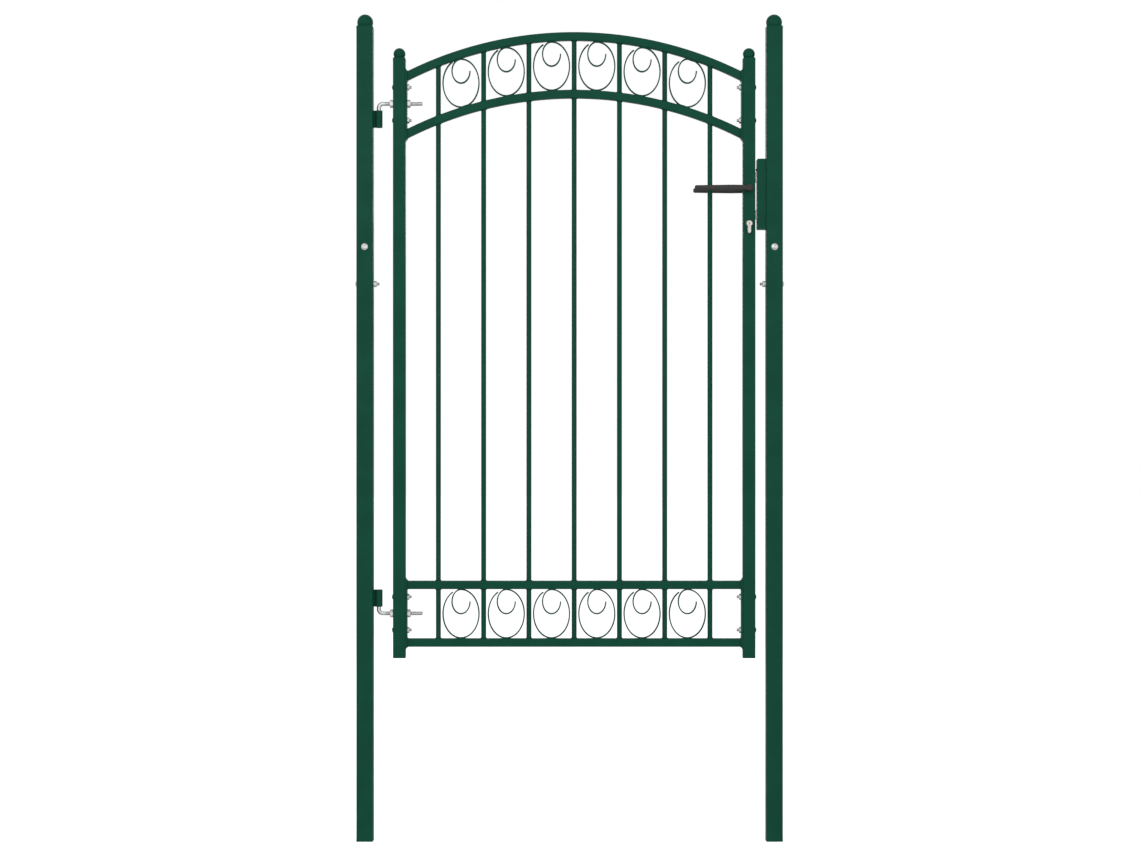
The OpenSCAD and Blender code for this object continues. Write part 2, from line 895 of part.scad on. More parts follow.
// The eight leaf bolts' places, with their heads on the leaf's outer edges
module at_leaf_bolts() {
    for (z = leaf_bolt_levels) {
        translate([hinge_edge, 0, z])
            along_x()
                children();
        translate([latch_edge, 0, z])
            along_x(false)
                children();
    }
}

module leaf_bolts() {
    color(green)
        at_leaf_bolts()
            domed_bolt(leaf_bolt_r, upright_side + plate_t + leaf_thread_out, leaf_head_d / 2, leaf_head_h);
}

module leaf_nuts() {
    color(zinc)
        at_leaf_bolts()
            translate([0, 0, upright_side + plate_t])
                hex_nut(nut_m8_across, nut_leaf_t, leaf_bolt_r + thread_clear);
}

// The lock case is a thin box, open towards the face plate
module lock_case() {
    color(zinc)
        difference() {
            lock_block(case_x0, case_x1, case_z0, case_z1, 2 * case_half_t);
            lock_block(case_x0 + case_wall, case_x1 + 1, case_z0 + case_wall, case_z1 - case_wall,
                2 * (case_half_t - case_wall));
            cylinder_passage(2 * upright_side, cut_clear);
            translate([latch_upright_x, -upright_side, lever_z])
                along_y()
                    cylinder(r = follower_boss_r + turn_clear, h = 2 * upright_side);
        }
}

// A countersunk screw along -X whose flat head ends at the leaf's edge
module countersunk_screw(z, shank_r, head_r, length) {
    translate([latch_edge, 0, z])
        along_x(false) {
            cylinder(r1 = head_r, r2 = shank_r, h = head_r - shank_r);
            cylinder(r = shank_r, h = length);
        }
}

// The face plate lies flush in the upright's edge
module lock_face_plate() {
    plate_z1 = latch_z + latch_bolt_h / 2;
    color(zinc)
        difference() {
            lock_block(face_plate_back, latch_edge, face_plate_z0, face_plate_z1, face_plate_w);
            lock_block(face_plate_back - 1, latch_edge + 1, latch_z - latch_bolt_h / 2 - slide_clear,
                plate_z1 + slide_clear, latch_bolt_t + 2 * slide_clear);
            lock_block(face_plate_back - 1, latch_edge + 1, dead_bolt_z0 - slide_clear,
                dead_bolt_z0 + dead_bolt_h + slide_clear, dead_bolt_t + 2 * slide_clear);
            for (z = [face_plate_z0 + screw_inset, face_plate_z1 - screw_inset])
                countersunk_screw(z, screw_r + thread_clear, screw_head_r + thread_clear, screw_length);
            countersunk_screw(cylinder_screw_z, cylinder_screw_r + thread_clear,
                cylinder_screw_head_r + thread_clear, screw_length);
        }
}

module face_plate_screws() {
    color(zinc)
        for (z = [face_plate_z0 + screw_inset, face_plate_z1 - screw_inset])
            countersunk_screw(z, screw_r, screw_head_r, upright_wall + pad_t + 2);
}

module cylinder_screw() {
    color(zinc)
        countersunk_screw(cylinder_screw_z, cylinder_screw_r, cylinder_screw_head_r, cylinder_screw_length);
}

module cylinder_body() {
    color(nickel)
        difference() {
            cylinder_passage(cylinder_length, 0);
            translate([latch_upright_x, -cylinder_length, cylinder_z])
                along_y()
                    cylinder(r = plug_r + turn_clear, h = 2 * cylinder_length);
            lock_block(latch_upright_x - 2 * profile_r, latch_upright_x + 2 * profile_r, bridge_top,
                cylinder_z + 2 * profile_r, 2 * cam_slot_half);
            translate([latch_upright_x - profile_w / 4 - 1, 0, cylinder_screw_z])
                along_x()
                    cylinder(r = cylinder_screw_r + thread_clear, h = profile_w);
        }
}

// The plug carries the cam in the body's slot and has a keyway in each end
module cylinder_plug() {
    color(nickel)
        difference() {
            translate([latch_upright_x, 0, cylinder_z])
                rotate([90, 0, 0]) {
                    cylinder(r = plug_r, h = cylinder_length, center = true);
                    cylinder(r = cam_hub_r, h = 2 * cam_half_t, center = true);
                    rotate(cam_rest)
                        linear_extrude(2 * cam_half_t, center = true)
                            intersection() {
                                circle(cam_r);
                                translate([-cam_w / 2, 0])
                                    square([cam_w, cam_r]);
                            }
                }
            for (side = [-1, 1])
                translate([latch_upright_x - keyway_w / 2, side * cylinder_length / 2 - keyway_depth / 2,
                    cylinder_z - plug_r])
                    cube([keyway_w, keyway_depth, keyway_h]);
        }
}

module dead_bolt() {
    color(zinc)
        lock_block(bolt_back_x + dead_bolt_travel, latch_edge + dead_bolt_out, dead_bolt_z0,
            dead_bolt_z0 + dead_bolt_h, dead_bolt_t);
}

// The latch bolt has a sloped nose and a tail that hangs down to the follower's arm
module latch_bolt() {
    half_t = latch_bolt_t / 2;
    nose = latch_edge + latch_out;
    back = bolt_back_x + latch_travel;
    profile = [[back, -half_t], [nose, -half_t], [nose, 2 - half_t], [latch_edge + 1, half_t],
        [back, half_t]];
    tail_z0 = lever_z + follower_r + tail_lift;
    color(zinc) {
        translate([0, 0, latch_z - latch_bolt_h / 2])
            linear_extrude(latch_bolt_h)
                polygon(profile);
        lock_block(back, back + tail_t, tail_z0, latch_z - latch_bolt_h / 2 + 1, tail_w);
    }
}

// The grip's outline in X and Z: it swells from its tip to its belly and narrows again at the hub
module grip_outline() {
    tip_corner = 3;
    belly_x = -lever_length * 0.3;
    hull() {
        for (side = [-1, 1])
            translate([tip_corner - lever_length, side * (lever_tip_h / 2 - tip_corner)])
                circle(tip_corner, $fn = 32);
        translate([belly_x, 0])
            circle(lever_belly_h / 2, $fn = 32);
    }
    hull() {
        translate([belly_x, 0])
            circle(lever_belly_h / 2, $fn = 32);
        circle(lever_tip_h / 2 + 0.5, $fn = 32);
    }
}

// A lever on the side of the leaf towards -Y
module lever() {
    hub_back = upright_half + hub_gap;
    translate([latch_upright_x, 0, lever_z])
        difference() {
            union() {
                translate([0, -hub_back, 0])
                    rotate([90, 0, 0])
                        cylinder(d = lever_hub_d, h = lever_reach - hub_back);
                translate([0, lever_grip_t / 2 - lever_reach, 0])
                    upright_slab(lever_grip_t)
                        grip_outline();
            }
            translate([0, 5 - lever_reach / 2, 0])
                cube([spindle_side + 2 * bolt_clear, lever_reach, spindle_side + 2 * bolt_clear],
                    center = true);
        }
}

module front_lever() {
    color(black)
        lever();
}

module rear_lever() {
    color(black)
        mirror([0, 1, 0])
            lever();
}

module lever_spindle() {
    length = 2 * (lever_reach - lever_grip_t);
    color(zinc)
        lock_block(latch_upright_x - spindle_side / 2, latch_upright_x + spindle_side / 2,
            lever_z - spindle_side / 2, lever_z + spindle_side / 2, length);
}

// The follower turns with the spindle, and its arm draws the latch bolt back by the tail
module latch_follower() {
    color(zinc)
        translate([latch_upright_x, 0, lever_z])
            rotate([90, 0, 0])
                difference() {
                    union() {
                        cylinder(r = follower_r, h = 2 * follower_half_t, center = true);
                        cylinder(r = follower_boss_r, h = 2 * (case_half_t + 0.5), center = true);
                        rotate(-handle_angle / 2)
                            linear_extrude(tail_w, center = true)
                                translate([-arm_w / 2, 0])
                                    square([arm_w, arm_r]);
                    }
                    cube([spindle_side + 2 * thread_clear, spindle_side + 2 * thread_clear,
                        4 * case_half_t], center = true);
                }
}

post_lower(hinge_post_x);  // hinge_post_lower
post_upper(hinge_post_x);  // hinge_post_upper
post_lower(latch_post_x);  // latch_post_lower
post_upper(latch_post_x);  // latch_post_upper
post_sleeves();
post_cap(hinge_post_x);  // hinge_post_cap
post_cap(latch_post_x);  // latch_post_cap
post_bolts();
post_nuts();
hinge_barrel(true);  // upper_hinge_barrel
hinge_barrel(false);  // lower_hinge_barrel
hinge_lugs();
strike_box();
strike_buffer();
hinge_upright();
latch_upright();
upright_cap(hinge_upright_x);  // hinge_upright_cap
upright_cap(latch_upright_x);  // latch_upright_cap
top_arch_rail();
lower_arch_rail();
middle_rail();
bottom_rail();
end_plates(plate_left, 1);  // hinge_end_plates
end_plates(plate_right, -1);  // latch_end_plates
upper_hinge_bolt();
lower_hinge_bolt();
hinge_nuts();
leaf_bolts();
leaf_nuts();
lock_case();
lock_face_plate();
face_plate_screws();
cylinder_screw();
cylinder_body();
cylinder_plug();
dead_bolt();
latch_bolt();
front_lever();
rear_lever();
lever_spindle();
latch_follower();
for (i = [1:bar_count])
    bar(i);
for (i = [1:scroll_count])
    top_scroll(i);
for (i = [1:scroll_count])
    bottom_scroll(i);
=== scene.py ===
"""Finish and fine detail of a steel garden gate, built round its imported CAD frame.

Sizes in the classes are millimetres. The numpy surfaces are worked out in millimetres in the
frame's own axes (X to the latch post, Y away from the front, Z up) and written in metres.
"""

import json
import logging
import math
from dataclasses import dataclass, field
from enum import Enum
from typing import Callable, Union

import bpy
import numpy as np
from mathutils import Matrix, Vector


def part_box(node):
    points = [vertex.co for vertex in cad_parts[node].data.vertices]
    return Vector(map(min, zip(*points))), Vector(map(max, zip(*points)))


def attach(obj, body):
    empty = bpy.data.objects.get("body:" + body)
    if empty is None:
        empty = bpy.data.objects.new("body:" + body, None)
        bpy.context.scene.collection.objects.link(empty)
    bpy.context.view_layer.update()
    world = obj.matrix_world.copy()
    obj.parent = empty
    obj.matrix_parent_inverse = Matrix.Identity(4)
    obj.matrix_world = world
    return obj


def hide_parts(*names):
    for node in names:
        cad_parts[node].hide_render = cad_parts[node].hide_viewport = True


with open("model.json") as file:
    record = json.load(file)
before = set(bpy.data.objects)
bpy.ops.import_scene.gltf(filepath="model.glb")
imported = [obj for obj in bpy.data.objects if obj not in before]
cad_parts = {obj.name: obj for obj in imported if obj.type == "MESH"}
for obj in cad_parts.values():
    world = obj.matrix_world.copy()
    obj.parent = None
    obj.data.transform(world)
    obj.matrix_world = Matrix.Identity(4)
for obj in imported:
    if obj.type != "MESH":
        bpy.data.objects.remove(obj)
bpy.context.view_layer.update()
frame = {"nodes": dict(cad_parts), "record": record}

LOG = logging.getLogger("garden_gate")
MM = 0.001
FULL_TURN = 2 * math.pi
Socket = Union[str, int]
Point = tuple[float, float, float]


class Body(Enum):
    """The CAD bodies that pieces ride on."""

    POSTS = "posts"
    LEAF = "leaf"
    HANDLE = "handle"


class Run(Enum):
    """Which way a shape that is drawn along +Z runs once it is placed."""

    RIGHT = "+x"
    LEFT = "-x"
    BACK = "+y"
    FRONT = "-y"


# ---------------------------------------------------------------- boxes, grids and meshes


@dataclass(frozen=True)
class Box:
    """The box round a CAD node: its lowest and highest corner."""

    low: np.ndarray
    high: np.ndarray

    @property
    def mid(self) -> np.ndarray:
        """The box's middle."""
        return (self.low + self.high) / 2

    @property
    def size(self) -> np.ndarray:
        """The box's three sides."""
        return self.high - self.low


def box_mm(node: str) -> Box:
    """The box round a CAD node, in millimetres."""
    low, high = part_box(node)
    return Box(np.array(low) / MM, np.array(high) / MM)


def grid_faces(count: int, around: int, closed: bool) -> list[np.ndarray]:
    """Faces of a grid of rings: quads between the rings, and the two end rings themselves.

    Args:
        count: number of rings.
        around: points in each ring.
        closed: True if the last ring joins the first, so that there are no end rings.

    Returns:
        Arrays of point indices, faces x corners.
    """
    index = np.arange(count * around).reshape(count, around)
    after = np.roll(index, -1, axis=0)
    quads = np.stack([index, np.roll(index, -1, axis=1), np.roll(after, -1, axis=1), after], axis=-1)
    if closed:
        return [quads.reshape(-1, 4)]
    return [quads[:-1].reshape(-1, 4), np.stack([index[0, ::-1], index[-1]])]


def fan_volume(corners: np.ndarray) -> float:
    """Sum of the triple products of faces' fans, faces x corners x 3: six times their volume."""
    return float(np.sum(corners[:, :1] * np.cross(corners[:, 1:-1], corners[:, 2:])))


@dataclass
class Surface:
    """One or more closed shells, each a grid of rings, gathered into one mesh."""

    shells: list[tuple[np.ndarray, bool]] = field(default_factory=list)

    def add(self, points: np.ndarray, closed: bool = False) -> "Surface":
        """Adds a shell.

        Args:
            points: rings x points x 3, in millimetres.
            closed: True if the last ring joins the first.

        Returns:
            This surface, so that calls can follow each other.
        """
        self.shells.append((np.asarray(points, float), closed))
        return self

    def mesh(self, name: str, sharp_deg: float) -> bpy.types.Mesh:
        """Writes the shells into a mesh whose faces all point outwards.

        A shell with a volume below zero has its faces turned round.

        Args:
            name: the mesh's name.
            sharp_deg: edges that turn by more than this stay sharp.

        Returns:
            The mesh.
        """
        points, faces, start = [], [], 0
        for grid, closed in self.shells:
            flat = grid.reshape(-1, 3)
            groups = grid_faces(*grid.shape[:2], closed)
            order = -1 if sum(fan_volume(flat[group]) for group in groups) < 0 else 1
            for group in groups:
                faces.extend((group[:, ::order] + start).tolist())
            points.append(flat)
            start += len(flat)
        mesh = bpy.data.meshes.new(name)
        mesh.from_pydata((np.concatenate(points) * MM).tolist(), [], faces)
        mesh.validate()
        mesh.shade_smooth()
        mesh.set_sharp_from_angle(angle=math.radians(sharp_deg))
        return mesh


def angles(count: int) -> np.ndarray:
    """Angles spread evenly over a full turn."""
    return np.linspace(0, FULL_TURN, count, endpoint=False)


def rings(radii: np.ndarray, heights: np.ndarray) -> np.ndarray:
    """Rings about the Z axis: the radius times the cosine and sine of the angle, at a height.

    Args:
        radii: rings x points.
        heights: height of each ring.

    Returns:
        The grid of rings.
    """
    turn = angles(radii.shape[1])
    z = np.broadcast_to(np.asarray(heights)[:, None], radii.shape)
    return np.stack([radii * np.cos(turn), radii * np.sin(turn), z], axis=-1)


def lathe(profile: np.ndarray | list[tuple[float, float]], around: int) -> np.ndarray:
    """A turned shape about the Z axis: each profile point, a radius and a height, makes a circle.

    Args:
        profile: radius and height of each ring.
        around: points in each ring.

    Returns:
        The grid of rings.
    """
    radius, height = np.array(profile, float).T
    return rings(np.repeat(radius[:, None], around, axis=1), height)


def place(points: np.ndarray, origin: Point, run: Run) -> np.ndarray:
    """Turns a shape drawn along +Z to run another way and moves it.

    Args:
        points: the grid.
        origin: where its own origin goes.
        run: the way that its +Z then points.

    Returns:
        The placed grid.
    """
    x, y, z = points[..., 0], points[..., 1], points[..., 2]
    turned = {
        Run.RIGHT: (z, y, -x), Run.LEFT: (-z, y, x), Run.BACK: (x, z, -y), Run.FRONT: (x, -z, y),
    }[run]
    return np.stack(turned, axis=-1) + np.array(origin, float)


def hexagon_radius(angle: np.ndarray, apothem: float) -> np.ndarray:
    """A hexagon's edge: the apothem over the cosine of the angle from the nearest flat's middle."""
    return apothem / np.cos(np.mod(angle, FULL_TURN / 6) - FULL_TURN / 12)


def rounded_rectangle(half: np.ndarray, radius: float, per_corner: int) -> tuple[np.ndarray, np.ndarray]:
    """A rectangle with round corners: each corner's centre plus the radius times (cos, sin).

    Args:
        half: half its width and half its height.
        radius: radius of its corners.
        per_corner: points in each corner.

    Returns:
        The points and the unit vectors that point out of them, both points x 2.
    """
    angle = np.radians(np.linspace(0, 90, per_corner) + np.array([[0], [90], [180], [270]]))
    signs = np.array([[1, 1], [-1, 1], [-1, -1], [1, -1]])
    facing = np.stack([np.cos(angle), np.sin(angle)], axis=-1)
    points = signs[:, None, :] * (half - radius) + radius * facing
    return points.reshape(-1, 2), facing.reshape(-1, 2)


def swept_tube(path: np.ndarray, side: np.ndarray, up: np.ndarray, radius: np.ndarray) -> np.ndarray:
    """A tube along a path: each path point plus radius times (cos a * side + sin a * up).

    Args:
        path: points x 3.
        side: unit vectors across the path, points x 3.
        up: unit vectors across both, points x 3.
        radius: points x around.

    Returns:
        The grid of rings.
    """
    angle = angles(radius.shape[1])
    return (
        path[:, None, :]
        + (radius * np.cos(angle))[..., None] * side[:, None, :]
        + (radius * np.sin(angle))[..., None] * up[:, None, :]
    )


def thread_depth(along: np.ndarray, around: int, pitch: float, depth: float) -> np.ndarray:
    """How deep a thread cuts: a triangle wave along the axis that moves on by a pitch each turn.

    Args:
        along: distance along the thread of each ring.
        around: points in each ring.
        pitch: thread pitch.
        depth: depth from crest to root.

    Returns:
        The depth at each grid point.
    """
    turn = np.arange(around) / around
    phase = np.mod(along[:, None] / pitch - turn[None, :], 1.0)
    wave = np.abs(2 * phase - 1)
    return depth * np.clip(1.25 * wave - 0.125, 0, 1)


# ---------------------------------------------------------------- finishes


def linear(colour: str) -> tuple[float, float, float, float]:
    """Linear RGBA of an sRGB colour, by a line below 0.04045 and a power of 2.4 above it.

    Args:
        colour: the colour as a hex string.

    Returns:
        The linear colour, with an alpha of 1.
    """
    srgb = np.array([int(colour[i : i + 2], 16) for i in (1, 3, 5)]) / 255
    value = np.where(srgb <= 0.04045, srgb / 12.92, ((srgb + 0.055) / 1.055) ** 2.4)
    return (*value.tolist(), 1.0)


def add_node(
    tree: bpy.types.NodeTree, kind: str, sockets: dict[Socket, object] | None = None, **settings: object
) -> bpy.types.Node:
    """Adds a node, sets its properties and fills its sockets.

    Args:
        tree: the node tree.
        kind: the node's type.
        sockets: a value, or another node's output to link, for each input.
        settings: the node's own properties.

    Returns:
        The node.
    """
    node = tree.nodes.new(kind)
    for name, value in settings.items():
        setattr(node, name, value)
    for name, value in (sockets or {}).items():
        if isinstance(value, bpy.types.NodeSocket):
            tree.links.new(value, node.inputs[name])
        else:
            node.inputs[name].default_value = value
    return node


@dataclass(frozen=True)
class Finish:
    """A finish: two close colours that drift into each other, a gloss that drifts and a fine relief.

    drift_mm is the size of the patches, grain_mm the size of the relief's bumps and relief_mm
    their height.
    """

    name: str
    slot: str
    colour: str
    second_colour: str
    roughness: float
    roughness_drift: float
    metallic: float
    drift_mm: float
    grain_mm: float
    relief_mm: float
    specular: float = 0.5
    stretch: Point = (1.0, 1.0, 1.0)

    def material(self) -> bpy.types.Material:
        """The material, made the first time that it is asked for.

        Colour is a mix of the two colours by a soft noise. Roughness is the same noise carried
        to a narrow range. The relief is a second noise, and it only tilts the light.

        Returns:
            The material.
        """
        known = bpy.data.materials.get(self.name)
        if known:
            return known
        made = bpy.data.materials.new(self.name)
        made.use_nodes = True
        tree = made.node_tree
        tree.nodes.clear()
        place_on = add_node(tree, "ShaderNodeTexCoord").outputs["Object"]
        spread = add_node(
            tree, "ShaderNodeMapping", {"Vector": place_on, "Scale": self.stretch}
        ).outputs["Vector"]
        patches = add_node(
            tree, "ShaderNodeTexNoise",
            {"Vector": spread, "Scale": 1 / (self.drift_mm * MM), "Detail": 3.0, "Roughness": 0.55},
        ).outputs["Fac"]
        grain = add_node(
            tree, "ShaderNodeTexNoise",
            {"Vector": spread, "Scale": 1 / (self.grain_mm * MM), "Detail": 2.0, "Roughness": 0.5},
        ).outputs["Fac"]
        share = add_node(
            tree, "ShaderNodeMapRange",
            {"Value": patches, "From Min": 0.35, "From Max": 0.65, "To Min": 0.0, "To Max": 1.0},
        ).outputs["Result"]
        mix = add_node(
            tree, "ShaderNodeMix",
            {0: share, 6: linear(self.colour), 7: linear(self.second_colour)}, data_type="RGBA",
        )
        shader = add_node(
            tree, "ShaderNodeBsdfPrincipled",
            {
                "Base Color": mix.outputs[2],
                "Metallic": self.metallic,
                "Roughness": self.roughness,
                "Specular IOR Level": self.specular,
            },
        )
        gloss = add_node(
            tree, "ShaderNodeMapRange",
            {
                "Value": patches, "From Min": 0.3, "From Max": 0.7,
                "To Min": self.roughness - self.roughness_drift,
                "To Max": self.roughness + self.roughness_drift,
            },
        )
        tree.links.new(gloss.outputs["Result"], shader.inputs["Roughness"])
        bump = add_node(
            tree, "ShaderNodeBump",
            {"Height": grain, "Strength": 1.0, "Distance": self.relief_mm * MM},
        )
        tree.links.new(bump.outputs["Normal"], shader.inputs["Normal"])
        add_node(tree, "ShaderNodeOutputMaterial", {"Surface": shader.outputs["BSDF"]})
        return made


# Polyester powder coat, sprayed and baked: a satin skin with a faint orange peel. Real orange
# peel is 1 to 2 mm across; it is drawn at 5 mm, because a finer one would not show at all.
POWDER_COAT = Finish(
    "moss_green_powder_coat", "green_powder_coat", "#0b4332", "#0a3f2f",
    roughness=0.45, roughness_drift=0.05, metallic=0.0, drift_mm=60, grain_mm=5, relief_mm=0.05,
    specular=0.07,
)
# The same coat over a weld, where it pools: a touch darker and glossier.
WELD_COAT = Finish(
    "powder_coat_over_weld", "green_powder_coat", "#0a3c2d", "#083628",
    roughness=0.4, roughness_drift=0.04, metallic=0.0, drift_mm=12, grain_mm=2.5, relief_mm=0.05,
    specular=0.09,
)
# Bright electroplated zinc with a clear passivation: pale, slightly cloudy, cool and warm by turns.
ZINC_PLATE = Finish(
    "electroplated_zinc", "zinc_plate", "#d2d2d0", "#c2c4c6",
    roughness=0.46, roughness_drift=0.07, metallic=1.0, drift_mm=7, grain_mm=2, relief_mm=0.01,
)
# Die-cast aluminium under a fine-textured black coat, which turns the light to a dull grey.
BLACK_COAT = Finish(
    "textured_black_coat_on_die_cast_aluminium", "black_lever", "#262625", "#20201f",
    roughness=0.55, roughness_drift=0.05, metallic=0.0, drift_mm=15, grain_mm=1.2, relief_mm=0.04,
    specular=0.35,
)
# Satin nickel plate on brass, brushed along the cylinder: long fine lines.
NICKEL_PLATE = Finish(
    "brushed_nickel_plate_on_brass", "nickel_plate", "#d0cdc8", "#c2beb7",
    roughness=0.3, roughness_drift=0.06, metallic=1.0, drift_mm=4, grain_mm=0.8, relief_mm=0.01,
    stretch=(1.0, 0.08, 1.0),
)
# Moulded rubber: matt and nearly black.
RUBBER = Finish(
    "moulded_rubber", "black_rubber", "#121212", "#0c0c0c",
    roughness=0.8, roughness_drift=0.05, metallic=0.0, drift_mm=3, grain_mm=0.8, relief_mm=0.02,
)
FINISHES = (POWDER_COAT, WELD_COAT, ZINC_PLATE, BLACK_COAT, NICKEL_PLATE, RUBBER)


def dress_cad_nodes() -> None:
    """Gives every CAD node the finish of its record slot, through its object's material slots."""
    by_slot = {f.slot: f for f in reversed(FINISHES)}
    slot_of = {s["node"]: s["material_slot"] for s in frame["record"]["subparts"]}
    for name, obj in frame["nodes"].items():
        material = by_slot[slot_of[name]].material()
        if not obj.material_slots:
            obj.data.materials.append(material)
        for slot in obj.material_slots:
            slot.material = material
    LOG.info("dressed %d CAD nodes", len(frame["nodes"]))


def add_object(name: str, data: bpy.types.ID) -> bpy.types.Object:
    """Adds an object to the scene.

    Args:
        name: its name.
        data: its mesh, light or camera.

    Returns:
        The object.
    """
    obj = bpy.data.objects.new(name, data)
    bpy.context.scene.collection.objects.link(obj)
    return obj


def add_piece(name: str, mesh: bpy.types.Mesh, finish: Finish, body: Body, stands_for: str = "") -> None:
    """Adds a mesh as a piece that rides on a body.

    Args:
        name: the piece's name.
        mesh: its mesh.
        finish: its finish.
        body: the body that it rides on.
        stands_for: the CAD node that it replaces, if any.
    """
    mesh.materials.append(finish.material())
    obj = add_object(name, mesh)
    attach(obj, body.value)
    if stands_for:
        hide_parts(stands_for)
    LOG.info("piece %s: %d faces on %s", name, len(mesh.polygons), body.value)


# ---------------------------------------------------------------- the leaf


@dataclass
class Arch:
    """An arched rail, read from its CAD node.

    The arc's outer radius follows from the node's box: (d*d + h*h - s*s) / (2 * (d - s)), where
    d is the box's height, h half its width and s the rail's side.
    """

    node: str
    side: float = 20.0
    centre_x: float = field(init=False)
    centre_z: float = field(init=False)
    outer_r: float = field(init=False)

    def __post_init__(self) -> None:
        """Works out the arc from the node's box."""
        box = box_mm(self.node)
        half, drop = box.size[0] / 2, box.size[2]
        self.outer_r = (drop**2 + half**2 - self.side**2) / (2 * (drop - self.side))
        self.centre_x = box.mid[0]
        self.centre_z = box.high[2] - self.outer_r

    def over(self, x: np.ndarray | float) -> np.ndarray:
        """Height of the rail's upper face at x."""
        return self.centre_z + np.sqrt(self.outer_r**2 - (x - self.centre_x) ** 2)

    def under(self, x: np.ndarray | float) -> np.ndarray:
        """Height of the rail's lower face at x."""
        return self.centre_z + np.sqrt((self.outer_r - self.side) ** 2 - (x - self.centre_x) ** 2)


@dataclass
class Level:
    """A straight rail, read from its CAD node."""

    node: str

    def over(self, x: np.ndarray | float) -> np.ndarray:
        """Height of the rail's upper face, the same at every x."""
        return np.full(np.shape(x), box_mm(self.node).high[2])

    def under(self, x: np.ndarray | float) -> np.ndarray:
        """Height of the rail's lower face, the same at every x."""
        return np.full(np.shape(x), box_mm(self.node).low[2])


@dataclass
class Rails:
    """The leaf's four rails, from the lowest up."""

    bottom: Level
    middle: Level
    lower: Arch
    top: Arch


@dataclass
class Bead:
    """A fillet weld: a quarter round whose legs lie on two faces, laid down in ripples."""

    leg: float = 2.4
    ripple_mm: float = 2.2
    ripple: float = 0.1
    sink: float = 0.4
    end_legs: float = 1.5
    arc_points: int = 7

    def grid(
        self, root: np.ndarray, u: np.ndarray | Point, v: np.ndarray | Point, closed: bool
    ) -> np.ndarray:
        """The bead's grid of rings.

        A ring is the root, sunk a little into the corner, and an arc from leg * u to leg * v.
        The leg swells and shrinks with the cosine of the distance along the bead, and at an
        open end it closes as a quarter ellipse.

        Args:
            root: points x 3 along the corner.
            u: unit vectors along the first face, or one for the whole bead.
            v: unit vectors along the second face, or one for the whole bead.
            closed: True if the bead is a loop.

        Returns:
            The grid.
        """
        u, v = (np.broadcast_to(np.array(w, float), root.shape)[:, None, :] for w in (u, v))
        root = root[:, None, :]
        steps = np.linalg.norm(np.diff(root[:, 0], axis=0), axis=1)
        along = np.concatenate([[0.0], np.cumsum(steps)])
        leg = self.leg * (1 + self.ripple * np.cos(FULL_TURN * along / self.ripple_mm))
        if not closed:
            left = np.minimum(along, along[-1] - along) / (self.end_legs * self.leg)
            leg *= np.sqrt(1 - (1 - np.clip(left, 0.02, 1)) ** 2)
        angle = np.linspace(0, math.pi / 2, self.arc_points)[:, None]
        arc = root + leg[:, None, None] * (np.cos(angle) * u + np.sin(angle) * v)
        sunk = root - self.sink * (u + v)
        foot_u = arc[:, :1] - self.sink * v
        foot_v = arc[:, -1:] - self.sink * u
        return np.concatenate([sunk, foot_u, arc, foot_v], axis=1)


